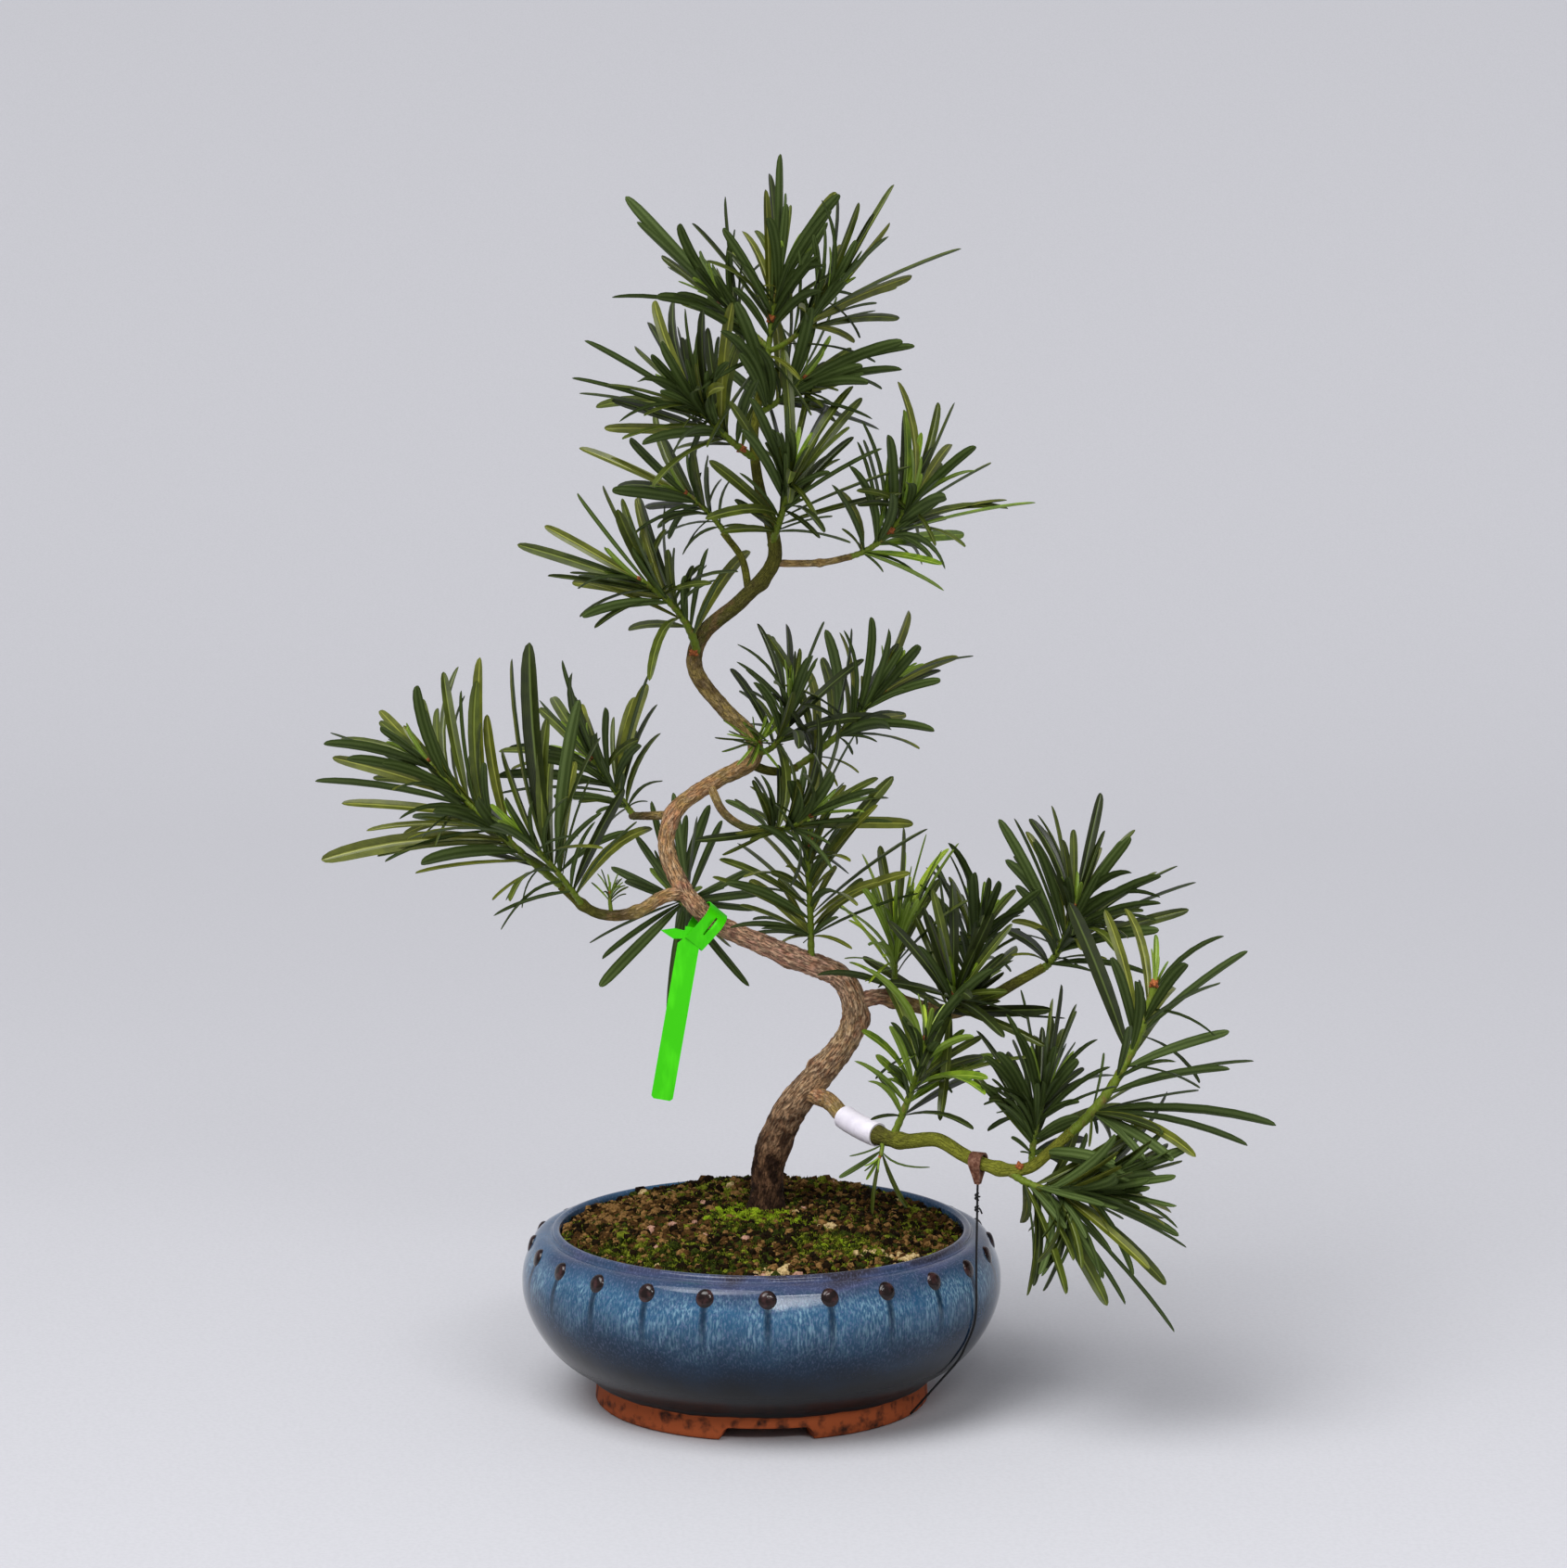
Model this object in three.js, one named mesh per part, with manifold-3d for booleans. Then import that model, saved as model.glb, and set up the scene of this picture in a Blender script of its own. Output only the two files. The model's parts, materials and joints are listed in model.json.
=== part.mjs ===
// A podocarpus bonsai in a glazed drum pot, with its label, graft tape and tie wire.
// Millimetres, +Z up, +X to the right and -Y to the front. The tree and the pot are laid out
// about the pot's axis; the outer group then moves them so that the whole stands centred on
// the origin.

import * as THREE from 'three';
import { mergeVertices } from 'three/addons/utils/BufferGeometryUtils.js';
import Module from 'manifold-3d';

// ---- Driving dimensions -------------------------------------------------------------------

const GAP = 0.3; // clearance between pieces that touch
const CENTRE_SHIFT = { x: -19, y: 8 }; // from the pot's axis to the centre of the whole

const POT = {
  bellyRadius: 140,
  bellyHeight: 69,
  shoulderRadius: 133,
  shoulderHeight: 95,
  lipRadius: 122.3,
  lipTop: 102,
  lipBand: 4.6,
  mouthRadius: 117.6,
  wall: 8,
  footRadius: 97.5,
  footInner: 84,
  footHeight: 14,
  recess: 9,
  floorTop: 18,
  drainRadius: 11,
  drainOffset: 45,
};
const FOOT_NOTCH = { count: 3, width: 54, height: 7, firstTurn: -2 };
const STUDS = { count: 24, radius: 5.3, proud: 2.6, height: 91, ring: 133.6, firstTurn: 1.4 };
// The pot's outer face from the foot up, the rolled lip, and the cavity from the mouth down.
const POT_FACE = [
  [POT.footRadius, 0], [POT.footRadius - 0.8, POT.footHeight - 2],
  [POT.footRadius + 1.4, POT.footHeight + 1.2], [107, 20], [118, 27.5], [127, 37], [134, 48],
  [138.4, 59], [POT.bellyRadius, POT.bellyHeight], [138.8, 81],
  [POT.shoulderRadius, POT.shoulderHeight], [127.5, 98.2], [POT.lipRadius + 0.6, 98.4],
];
const POT_LIP = [
  [POT.lipRadius - 0.2, 101], [POT.lipRadius - POT.lipBand / 2, POT.lipTop],
  [POT.mouthRadius, 100.6],
];
const POT_CAVITY = [
  [POT.mouthRadius, 95], [POT.bellyRadius - POT.wall - 1, 82],
  [POT.bellyRadius - POT.wall, POT.bellyHeight], [124, 46], [106, 26], [88, POT.floorTop],
];
// The soil rises from the mouth to a flat crown round the trunk, over humps about 27 mm apart.
const SOIL = {
  clear: 0.5, edgeTop: 97.4, crownRadius: 46, crown: 104.6, bow: 1.3, rings: [104, 90, 75, 60],
  hump: 1.7, humpAcross: [8.5, 9.3], humpStart: [0.7, 1.9],
};

const LEAF = {
  length: 76, widthShare: 0.1, thickness: 1.1, widestAt: 0.58, bladeFrom: 0.3,
};
// Where leaves spring from a shoot, how far they arch, and how far their faces turn.
const SHOOT = {
  leafyFrom: 0.2, leafyTo: 0.97, fullTurn: 85, pivot: 0.6, archFrom: 0.08, archRange: 0.2,
  faceFrom: 0.45, sides: 3, steps: 4,
};
const TRUNK_MESH = { sides: 10, steps: 40 };
const BOUGH_MESH = { sides: 6, stepsPerPoint: 2 };
const TURNED_SIDES = 36; // of the pot and of the soil in it

// The label is a loop-lock strap: a loop round the trunk, pinched where the strap runs through
// its own slot, a pointed free end and a long tail.
const LABEL = {
  width: 12.7, thickness: 0.7, loopRadius: 9.8, pinch: 16, tail: 99, neck: 3.6, slant: 0.163,
  at: [-31.5, -0.1, 281.1], axis: [-0.742, -0.158, 0.65], hangs: [-0.413, -0.551, -0.724],
  tailAt: [-41, -8.3, 276],
};
const TAPE = { radius: 7.3, from: 0.17, to: 0.3, sides: 12 };
const PAD = {
  radius: 4.6, width: 7.5, thickness: 1.4, drop: 21, at: [122.8, -70.6, 155.4], axis: [15, -8, 0],
};
// The wire runs down in one upright plane through the pot's axis, over the belly to the foot:
// distance from the axis and height.
const WIRE = { radius: 0.6, sides: 6, steps: 26, turn: 60 };
const WIRE_LINE = [
  [141.6, 132.7], [141.4, 118], [141.2, 104], [141.2, 88], [141.3, 70], [139.6, 59], [134.6, 47],
  [129.4, 37.5], [119.4, 25.6], [109.2, 13.8], [99.2, 2.2],
];

// Sections up the trunk: x, y, z of its heart and its diameter there. It is cut flat on the soil.
const TRUNK = [
  [2, 30, 100, 24], [3, 30, 113, 19], [5, 29, 135, 19.6], [17, 25, 165, 19.4],
  [35, 21, 188, 17], [51, 16, 211, 15], [54, 13, 230, 14.3], [46, 11, 247, 14],
  [25, 7, 257, 13.4], [-5, 4, 270, 11.8], [-30, 2, 283, 11], [-46, 1, 302, 10.6],
  [-55, 4, 326, 9.8], [-48, 9, 347, 9.6], [-26, 16, 362, 9.4], [-6, 20, 372, 9.2],
  [-5, 23, 386, 9], [-22, 27, 403, 9.2], [-38, 28, 425, 9.2], [-34, 26, 446, 9.2],
  [-12, 20, 466, 8.8], [6, 12, 487, 8.6], [7, 8, 505, 7.6], [-1, 3, 533, 6.2],
  [-4, 0, 560, 5.2], [-1, 0, 585, 4.4], [3, 0, 599, 4],
];

// Each bough: the limb it springs from, its line, and its diameter at the root and the tip.
const BOUGHS = [
  { name: 'bough_left', from: 'trunk', girth: [8.4, 5.2],
    line: [[-44, 1, 299], [-57, -6, 297], [-71, -12, 290], [-85, -16, 288], [-99, -18, 292],
      [-115, -20, 306]] },
  { name: 'bough_left_back', from: 'trunk', girth: [5.4, 4.4],
    line: [[-53, 7, 343], [-66, 25, 340], [-76, 38, 338]] },
  { name: 'bough_mid_right', from: 'trunk', girth: [5.6, 4.6],
    line: [[-6, 20, 371], [3, 23, 367], [12, 26, 366], [21, 28, 368]] },
  { name: 'bough_mid_front', from: 'trunk', girth: [5.2, 4.4],
    line: [[-30, 15, 360], [-22, 0, 346], [-10, -12, 339], [2.5, -20.5, 338]] },
  { name: 'bough_high_right', from: 'trunk', girth: [4.4, 3.8],
    line: [[6, 11, 489], [22, 13, 488.5], [37, 16, 489], [52, 18, 492]] },
  { name: 'bough_high_left', from: 'trunk', girth: [4.6, 3.8],
    line: [[-7, 18, 471], [-11, 24, 490], [-22, 30, 505]] },
  { name: 'bough_shelf', from: 'trunk', girth: [10, 5.6],
    line: [[54, 13, 232], [71, 18, 234], [86, 22, 229], [111, 26, 223], [132, 30, 230],
      [151, 34, 240], [166, 36, 248]] },
  { name: 'bough_low', from: 'trunk', girth: [10.6, 6],
    line: [[26, 23, 176], [39, 8, 174], [48, -8, 168], [60, -24, 164], [71, -36, 162],
      [83, -46, 162], [100, -56, 165], [114, -66, 159], [124, -71, 155], [139, -76, 152],
      [152, -78, 154], [163, -78, 163], [175, -77, 174]] },
];

// Each shoot of leaves: the mass it belongs to, the limb that bears it, the line of its stem, the
// stem's diameters, and its fan, the leaves that spread to the left and right as [x, z] of the tip
// and, for some, the share of the leaf's width that faces the front. `whorl` counts the leaves that
// stand to the front and the back of the stem; `leaf` is the full length of a leaf where it differs
// from the rest. A side shoot has no `from`: it springs from the first shoot of its mass.
const SHOOTS = [
  { mass: 'foliage_apex', from: 'trunk', seed: 11, whorl: 9, girth: [4, 3.4],
    stem: [[3, 0, 597], [6, 0, 625], [11, -2, 652]],
    fan: [[11, 722, 1], [5, 712], [14, 703, 1], [43, 703, 0.3], [39, 692, 0.3], [13, 681, 1],
      [-21, 681], [-39, 685, 0.3], [-7, 647]] },
  { mass: 'foliage_apex', seed: 37, whorl: 5, girth: [3.6, 3.2],
    stem: [[5, 0, 611], [22, -9, 622], [38, -14, 642]],
    fan: [[75, 705, 1], [46, 671], [70, 677, 0.8], [113, 669, 0.3], [87, 652], [80, 631],
      [35, 686, 0.3], [66, 604, 0.8]] },
  { mass: 'foliage_apex', seed: 38, whorl: 5, girth: [3.6, 3.2],
    stem: [[5, 0, 612], [-8, 9, 624], [-22, 14, 638]],
    fan: [[-45, 672, 0.3], [-35, 668, 1], [-77, 698, 0.3], [-54, 657], [-58, 643, 0.4],
      [-20, 700, 0.6]] },
  { mass: 'foliage_top_right', from: 'trunk', seed: 12, whorl: 9, girth: [4.2, 3.4],
    stem: [[-1, 0, 576], [10, 10, 582], [24, 17, 594]],
    fan: [[79, 602, 0.3], [65, 607, 1], [60, 595, 0.3], [69, 563, 0.3], [47, 573], [35, 586],
      [-2, 615], [44, 640, 0.7]] },
  { mass: 'foliage_top_left', from: 'trunk', seed: 13, whorl: 12, girth: [4.6, 3.6],
    stem: [[-4, 0, 550], [-21, -10, 564], [-38, -16, 583]],
    fan: [[-99, 619], [-107, 598, 0.8], [-103, 588, 0.4], [-90, 566], [-66, 565, 0.7],
      [-50, 555, 0.3], [-73, 612, 0.9], [-65, 626], [-55, 620, 0.4], [-48, 626, 0.8],
      [-42, 637, 0.4], [-32, 638, 0.9], [-16, 640, 0.8], [-26, 598, 1]] },
  { mass: 'foliage_top_front', from: 'trunk', seed: 14, whorl: 9, girth: [4.8, 3.6],
    stem: [[6, 10, 500], [12, -12, 520], [17, -26, 543]],
    fan: [[15, 584, 1], [3, 585, 0.8], [-10, 572, 0.9], [38, 580, 1], [49, 573, 0.6],
      [42, 551, 0.5], [68, 558], [85, 546, 0.7], [80, 530, 0.3], [-29, 552, 0.8],
      [-15, 529, 0.5], [25, 530, 0.9], [40, 522, 0.4], [50, 506, 0.6], [-22, 512, 0.4]] },
  { mass: 'foliage_high_right', from: 'bough_high_right', seed: 15, whorl: 12, girth: [3.8, 3.4],
    stem: [[49, 18, 491.5], [70, 18, 502], [87, 10, 525]],
    fan: [[57, 576, 0.3], [72, 568], [84, 576, 0.8], [112, 580, 1], [111, 557], [121, 562, 0.3],
      [129, 550, 0.7], [143, 524, 0.5], [158, 526, 0.3], [120, 500, 0.7], [102, 492, 1],
      [88, 486, 0.3], [103, 478, 0.3], [63, 527, 1], [40, 538], [47, 527, 0.8]] },
  { mass: 'foliage_high_left_back', from: 'bough_high_left', seed: 16, whorl: 7,
    girth: [3.8, 3.4], stem: [[-19.5, 29, 502.5], [-30, 31, 516], [-43, 30, 527]],
    fan: [[-57, 556], [-38, 557, 1], [-30, 555, 0.5], [-106, 553, 0.3], [-61, 533, 0.3],
      [-68, 516, 1], [-15, 542, 0.3], [-62, 498, 0.3], [-45, 495, 0.4], [-5, 510, 0.4],
      [-84, 534, 0.6]] },
  { mass: 'foliage_high_left', from: 'trunk', seed: 17, whorl: 9, girth: [5.4, 3.8],
    stem: [[-37, 27, 434], [-47, 3, 461], [-69, -13, 481]],
    fan: [[-105, 530, 1], [-80, 527, 1], [-74, 524, 0.5], [-139, 503], [-109, 500, 0.7],
      [-110, 475, 0.5], [-100, 468, 1], [-78, 448], [-56, 520, 0.8], [-52, 503, 1],
      [-43, 486, 0.7], [-30, 503, 0.6], [-22, 486, 0.5], [-7, 491, 0.3], [-120, 487, 0.4],
      [-90, 536, 0.5]] },
  { mass: 'sprout_trunk', from: 'trunk', seed: 18, whorl: 9, leaf: 22, girth: [3, 2.4],
    stem: [[-5, 24, 386], [-3, 12, 385], [-1, 6, 386]],
    fan: [[-27, 387], [-22, 398], [-5, 402, 1], [3, 399], [13, 382], [-23, 378, 0.4]] },
  { mass: 'foliage_mid_inner', from: 'trunk', seed: 19, whorl: 7, girth: [4, 3.4],
    stem: [[-4, 22, 377], [9, 8, 385], [16, 2, 403]],
    fan: [[-18, 423], [-13, 412, 0.6], [6, 441, 1], [15, 448, 0.6], [28, 446, 0.5],
      [37, 452, 1]] },
  { mass: 'foliage_mid_right', from: 'bough_mid_right', seed: 20, whorl: 12, girth: [4.6, 3.8],
    stem: [[18, 28, 366.5], [46, 30, 388], [70, 28, 414]],
    fan: [[3, 446], [38, 443, 1], [-14, 435, 0.4], [6, 418, 0.6], [52, 421, 0.3],
      [59, 419, 0.5], [77, 432, 1], [82, 424, 0.3], [102, 427, 0.8], [66, 394, 0.8],
      [99, 398, 0.6], [90, 387, 0.5], [56, 370, 0.6], [88, 455, 0.4], [63, 462, 0.6]] },
  { mass: 'foliage_mid_front', from: 'bough_mid_front', seed: 21, whorl: 9, girth: [4.2, 3.4],
    stem: [[0, -19.5, 338], [13, -26, 340], [27, -30, 348]],
    fan: [[60, 367, 1], [46, 351, 0.6], [39, 336, 0.5], [88, 338, 0.4], [-22, 331, 0.5],
      [-21, 352, 0.8], [-37, 341, 0.3], [-5, 363, 1], [-15, 362, 0.6], [51, 307, 0.7],
      [20, 375, 0.8], [40, 380, 0.6]] },
  { mass: 'foliage_mid_low', from: 'trunk', seed: 22, whorl: 12, girth: [4.6, 3.4],
    stem: [[29, 7, 256], [28, -3, 295], [26, -6, 326]],
    fan: [[5, 320, 1], [76, 368, 1], [66, 357, 0.8], [52, 340], [96, 338, 0.3],
      [40, 315, 1], [-20, 315, 1], [-14, 321, 0.5], [-28, 312, 0.3], [-7, 297, 0.6],
      [85, 318, 0.7], [90, 303, 0.4], [52, 271, 0.3], [-5, 277, 0.7], [8, 360, 0.7],
      [34, 386, 0.5]] },
  { mass: 'foliage_left_outer', from: 'bough_left', seed: 23, whorl: 16, girth: [5, 3.6],
    stem: [[-112, -20, 304], [-150, -21, 337], [-190, -18, 377]],
    fan: [[-252, 322, 1], [-204, 338, 1], [-170, 340, 0.6], [-175, 326, 0.9], [-196, 320],
      [-145, 303, 0.3], [-240, 354, 0.7], [-255, 368, 0.6], [-245, 382, 1], [-248, 394, 0.5],
      [-223, 400, 0.3], [-232, 388, 0.3], [-213, 406, 0.7], [-198, 407, 0.5], [-187, 416, 0.6],
      [-183, 428, 1], [-171, 419, 0.3], [-160, 438, 0.8], [-162, 427, 1], [-164, 409, 1],
      [-226, 340, 0.5]] },
  { mass: 'foliage_left_inner', from: 'bough_left', seed: 24, whorl: 9, girth: [4, 3.4],
    stem: [[-103, -19, 294.5], [-114, -33, 313], [-133, -40, 336]],
    fan: [[-103, 416, 1], [-131, 450, 0.6], [-141, 439, 0.3], [-122, 379, 0.6], [-77, 370, 1],
      [-108, 374, 0.5], [-93, 352, 0.5], [-149, 386, 0.4], [-64, 334, 0.6],
      [-150, 300, 0.6], [-88, 268, 0.5]] },
  { mass: 'sprout_left', from: 'bough_left', seed: 25, whorl: 7, leaf: 17, girth: [2.8, 2.2],
    stem: [[-86, -16, 288], [-87, -17, 296], [-87, -17, 301]],
    fan: [[-82, 314], [-92, 315], [-76, 307], [-98, 307]] },
  { mass: 'foliage_left_back', from: 'bough_left_back', seed: 26, whorl: 9, girth: [4.2, 3.4],
    stem: [[-74.5, 36, 338.3], [-85, 44, 351], [-99, 47, 370]],
    fan: [[-127, 412, 1], [-107, 398], [-89, 408, 1], [-76, 404, 0.6], [-65, 424, 0.3],
      [-68, 413, 1], [-62, 400, 0.4], [-60, 382, 0.6], [-57, 366, 0.3], [-133, 396, 0.3],
      [-133, 383, 0.8], [-152, 368, 0.4], [-153, 356, 0.3], [-66, 349, 0.5], [-90, 331, 0.6],
      [-115, 432, 0.5]] },
  { mass: 'foliage_behind_label', from: 'trunk', seed: 27, whorl: 7, girth: [4.6, 3.6],
    stem: [[-41, 2, 296], [-45, 27, 288], [-48, 46, 287]],
    fan: [[-38, 334, 1], [-23, 332, 0.6], [-5, 304, 0.5], [-75, 320, 0.6], [-78, 309, 0.5],
      [-90, 299, 0.6], [-99, 273, 0.9], [-92, 262, 0.6], [-93, 248, 0.3], [-18, 255, 1],
      [-3, 279, 0.5], [2, 290, 0.4], [-60, 240, 0.6], [-52, 350, 0.6]] },
  { mass: 'foliage_shelf_end', from: 'bough_shelf', seed: 28, whorl: 16, girth: [5.2, 3.6],
    stem: [[164, 35.7, 246.6], [175, 34, 259], [184, 30, 285]],
    fan: [[139, 338, 1], [148, 338, 0.3], [157, 330, 0.5], [172, 341, 0.4], [173, 331, 1],
      [186, 325, 0.6], [213, 332, 0.8], [218, 320, 0.6], [244, 312, 0.3], [234, 302, 0.3],
      [255, 299, 0.3], [219, 293, 0.6], [251, 283, 1], [230, 279, 1], [192, 252, 0.3],
      [145, 262, 0.3], [140, 280, 0.9], [201, 350, 0.4]] },
  { mass: 'foliage_shelf_lime', from: 'bough_shelf', seed: 29, whorl: 9, girth: [4.6, 3.4],
    finish: 'youngLeaf',
    stem: [[79, 20, 231], [78, 20, 247], [79, 18, 266]],
    fan: [[57, 312], [77, 314, 1], [96, 331, 0.7], [105, 323, 0.5], [115, 326, 0.7],
      [70, 320, 0.6], [50, 288, 0.7], [46, 281, 0.3], [32, 260, 0.6], [52, 249, 0.5],
      [58, 241, 0.4], [118, 300, 0.5]] },
  { mass: 'foliage_shelf_front', from: 'bough_shelf', seed: 30, whorl: 9, girth: [4.4, 3.4],
    stem: [[106, 25, 224], [110, -6, 231], [111, -27, 244]],
    fan: [[88, 285, 1], [100, 294, 0.7], [142, 275, 1], [175, 229, 1], [165, 240, 0.5],
      [60, 252, 0.5], [130, 300, 0.6], [152, 258, 0.5]] },
  { mass: 'foliage_shelf_middle', from: 'bough_shelf', seed: 31, whorl: 9, girth: [4.4, 3.4],
    stem: [[117, 27, 225], [123, 44, 244], [129, 50, 267]],
    fan: [[122, 313, 0.8], [138, 306, 0.6], [150, 286, 0.3], [104, 300, 0.8], [96, 265, 0.5],
      [162, 300, 0.5]] },
  { mass: 'foliage_shelf_low', from: 'bough_low', seed: 32, whorl: 9, girth: [4.8, 3.4],
    stem: [[75, -39.5, 162], [87, -42, 194], [94, -43, 220]],
    fan: [[79, 243, 1], [95, 240, 0.7], [103, 239, 0.5], [56, 236, 0.8], [60, 208, 0.5],
      [71, 248, 0.4], [119, 232, 0.7], [128, 192, 1], [119, 180, 0.4], [136, 202, 0.3],
      [153, 219, 0.3], [62, 180, 0.6], [52, 222, 0.4]] },
  { mass: 'sprout_low', from: 'bough_low', seed: 33, whorl: 2, leaf: 40, girth: [3, 2.4],
    stem: [[70, -35, 162], [69, -42, 156], [68, -45, 153]],
    fan: [[44, 147, 1], [84, 120, 0.7], [50, 158, 0.4]] },
  { mass: 'foliage_low_rising', from: 'bough_low', seed: 34, whorl: 7, girth: [6.4, 5],
    stem: [[173.5, -77, 172.6], [203, -74, 208], [222, -70, 257]],
    fan: [[173, 305, 1], [195, 297, 1], [193, 283, 0.5], [274, 279, 0.8], [210, 263],
      [231, 250, 0.4], [261, 237, 1], [278, 216, 0.3], [262, 217, 0.5], [291, 182, 0.7],
      [275, 166, 0.6], [252, 270, 0.5]] },
  { mass: 'foliage_low_hanging', from: 'bough_low', seed: 35, whorl: 16, girth: [5, 3.6],
    stem: [[139, -76, 152], [161, -86, 143], [184, -88, 145]],
    fan: [[229, 162, 0.6], [224, 158, 1], [229, 147, 1], [218, 139, 0.3], [232, 128, 0.6],
      [231, 118, 1], [214, 112, 1], [234, 62, 0.7], [193, 86, 1], [155, 82, 0.6],
      [150, 112, 0.8], [190, 103, 0.5], [173, 116, 0.9], [236, 178, 0.4]] },
  { mass: 'foliage_low_upright', from: 'bough_low', seed: 36, whorl: 12, girth: [4.6, 3.4],
    stem: [[153, -78, 155], [155, -65, 169], [160, -58, 187]],
    fan: [[115, 202, 0.9], [124, 222, 0.6], [131, 227, 0.5], [150, 243, 0.6], [159, 241, 1],
      [150, 215, 1], [133, 195, 0.5], [168, 227, 0.3], [176, 225, 0.7], [170, 256, 1],
      [196, 210, 0.5]] },
];

// Colour and roughness of each finish.
const FINISH = {
  glaze: ['#2f4a66', 0.12], soil: ['#4a4423', 0.95], bark: ['#7a5a40', 0.9],
  leaf: ['#2f4320', 0.45], youngLeaf: ['#6f9a2e', 0.45], label: ['#35d000', 0.45],
  tape: ['#efecef', 0.7], pad: ['#6a4433', 0.7], wire: ['#101010', 0.5],
};

// ---- Solids: joining and cutting ------------------------------------------------------------

const wasm = await Module();
wasm.setup();

const WELD = 1e-4; // corners nearer than this are one

// A closed geometry as a solid, turned right side out.
function solidOf(geometry) {
  const bare = geometry.index ? geometry.toNonIndexed() : geometry.clone();
  bare.deleteAttribute('normal');
  bare.deleteAttribute('uv');
  const merged = mergeVertices(bare, WELD);
  const vertProperties = new Float32Array(merged.attributes.position.array);
  const triVerts = new Uint32Array(merged.index.array);
  const solid = new wasm.Manifold(new wasm.Mesh({ numProp: 3, vertProperties, triVerts }));
  if (solid.volume() > 0) return solid;
  for (let i = 0; i < triVerts.length; i += 3) {
    [triVerts[i + 1], triVerts[i + 2]] = [triVerts[i + 2], triVerts[i + 1]];
  }
  return new wasm.Manifold(new wasm.Mesh({ numProp: 3, vertProperties, triVerts }));
}

function geometryOf(solid) {
  const mesh = solid.getMesh();
  const geometry = new THREE.BufferGeometry();
  geometry.setAttribute('position', new THREE.BufferAttribute(mesh.vertProperties, 3));
  geometry.setIndex(new THREE.BufferAttribute(mesh.triVerts, 1));
  return geometry;
}

// The largest body of a solid: loose scraps are dropped and sealed hollows filled.
function mainBody(solid) {
  const bodies = solid.decompose();
  return bodies.reduce((best, body) => (body.volume() > best.volume() ? body : best));
}

// ---- Limbs ------------------------------------------------------------------------------------

// A closed tube through `points` whose radius at u = 0..1 is radiusAt(u).
function tubeSolid(points, radiusAt, sides, steps) {
  const curve = new THREE.CatmullRomCurve3(points, false, 'catmullrom', 0.5);
  const positions = [];
  const indices = [];
  let across = new THREE.Vector3(0, 1, 0);
  for (let i = 0; i <= steps; i++) {
    const u = i / steps;
    const centre = curve.getPoint(u);
    const along = curve.getTangent(u);
    const up = new THREE.Vector3().crossVectors(along, across).normalize();
    across = new THREE.Vector3().crossVectors(up, along).normalize();
    for (let k = 0; k < sides; k++) {
      const turn = (2 * Math.PI * k) / sides;
      const p = centre.clone()
        .addScaledVector(across, Math.cos(turn) * radiusAt(u))
        .addScaledVector(up, Math.sin(turn) * radiusAt(u));
      positions.push(p.x, p.y, p.z);
    }
  }
  for (let i = 0; i < steps; i++) {
    for (let k = 0; k < sides; k++) {
      const a = i * sides + k;
      const b = i * sides + ((k + 1) % sides);
      indices.push(a, b, a + sides, b, b + sides, a + sides);
    }
  }
  const last = steps * sides;
  for (let k = 1; k < sides - 1; k++) {
    indices.push(0, k + 1, k, last, last + k, last + k + 1);
  }
  const geometry = new THREE.BufferGeometry();
  geometry.setAttribute('position', new THREE.Float32BufferAttribute(positions, 3));
  geometry.setIndex(indices);
  return solidOf(geometry);
}

// Reads a value along a list of samples, from u = 0 at the first to u = 1 at the last.
function along(samples, u) {
  const place = u * (samples.length - 1);
  const i = Math.min(Math.floor(place), samples.length - 2);
  return THREE.MathUtils.lerp(samples[i], samples[i + 1], place - i);
}

// The same line, drawn out past its end by `extra`.
function drawnOut(points, extra) {
  const [before, end] = points.slice(-2);
  const past = end.clone().sub(before).setLength(extra).add(end);
  return [...points.slice(0, -1), past];
}

// A limb, and its copy grown by the clearance, which is cut from whatever it bears.
function limbOf(points, diameters, sides, steps) {
  const radiusAt = (u) => along(diameters, u) / 2;
  return {
    solid: tubeSolid(points, radiusAt, sides, steps),
    grown: tubeSolid(drawnOut(points, GAP), (u) => radiusAt(u) + GAP, sides, steps),
  };
}

const vectors = (rows) => rows.map(([x, y, z]) => new THREE.Vector3(x, y, z));

const vectors2 = (rows) => rows.map(([x, y]) => new THREE.Vector2(x, y));

function boughLimb({ line, girth }) {
  return limbOf(vectors(line), girth, BOUGH_MESH.sides, BOUGH_MESH.stepsPerPoint * line.length);
}

// ---- Leaves -----------------------------------------------------------------------------------

// A repeatable stream of numbers from 0 to 1.
function* stream(seed) {
  let state = seed * 7919;
  while (true) {
    state = (state * 16807) % 2147483647;
    yield state / 2147483647;
  }
}

// The point and the direction at s = 0..1 on a stem of three points.
function onStem([a, b, c], s) {
  const blend = (wa, wb, wc) => a.clone().multiplyScalar(wa)
    .addScaledVector(b, wb).addScaledVector(c, wc);
  return {
    point: blend((1 - s) * (1 - 2 * s), 4 * s * (1 - s), s * (2 * s - 1)),
    heading: blend(4 * s - 3, 4 - 8 * s, 4 * s - 1).normalize(),
  };
}

// A leaf leaves its stem close to the stem's own heading and arches out to its chord.
function leafPath(leaf, t) {
  const lift = leaf.chord.clone().lerp(leaf.heading, leaf.arch).setLength(leaf.length * 0.5);
  const tip = leaf.chord.clone().setLength(leaf.length);
  return leaf.root.clone().addScaledVector(lift, 2 * t * (1 - t)).addScaledVector(tip, t * t);
}

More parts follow.
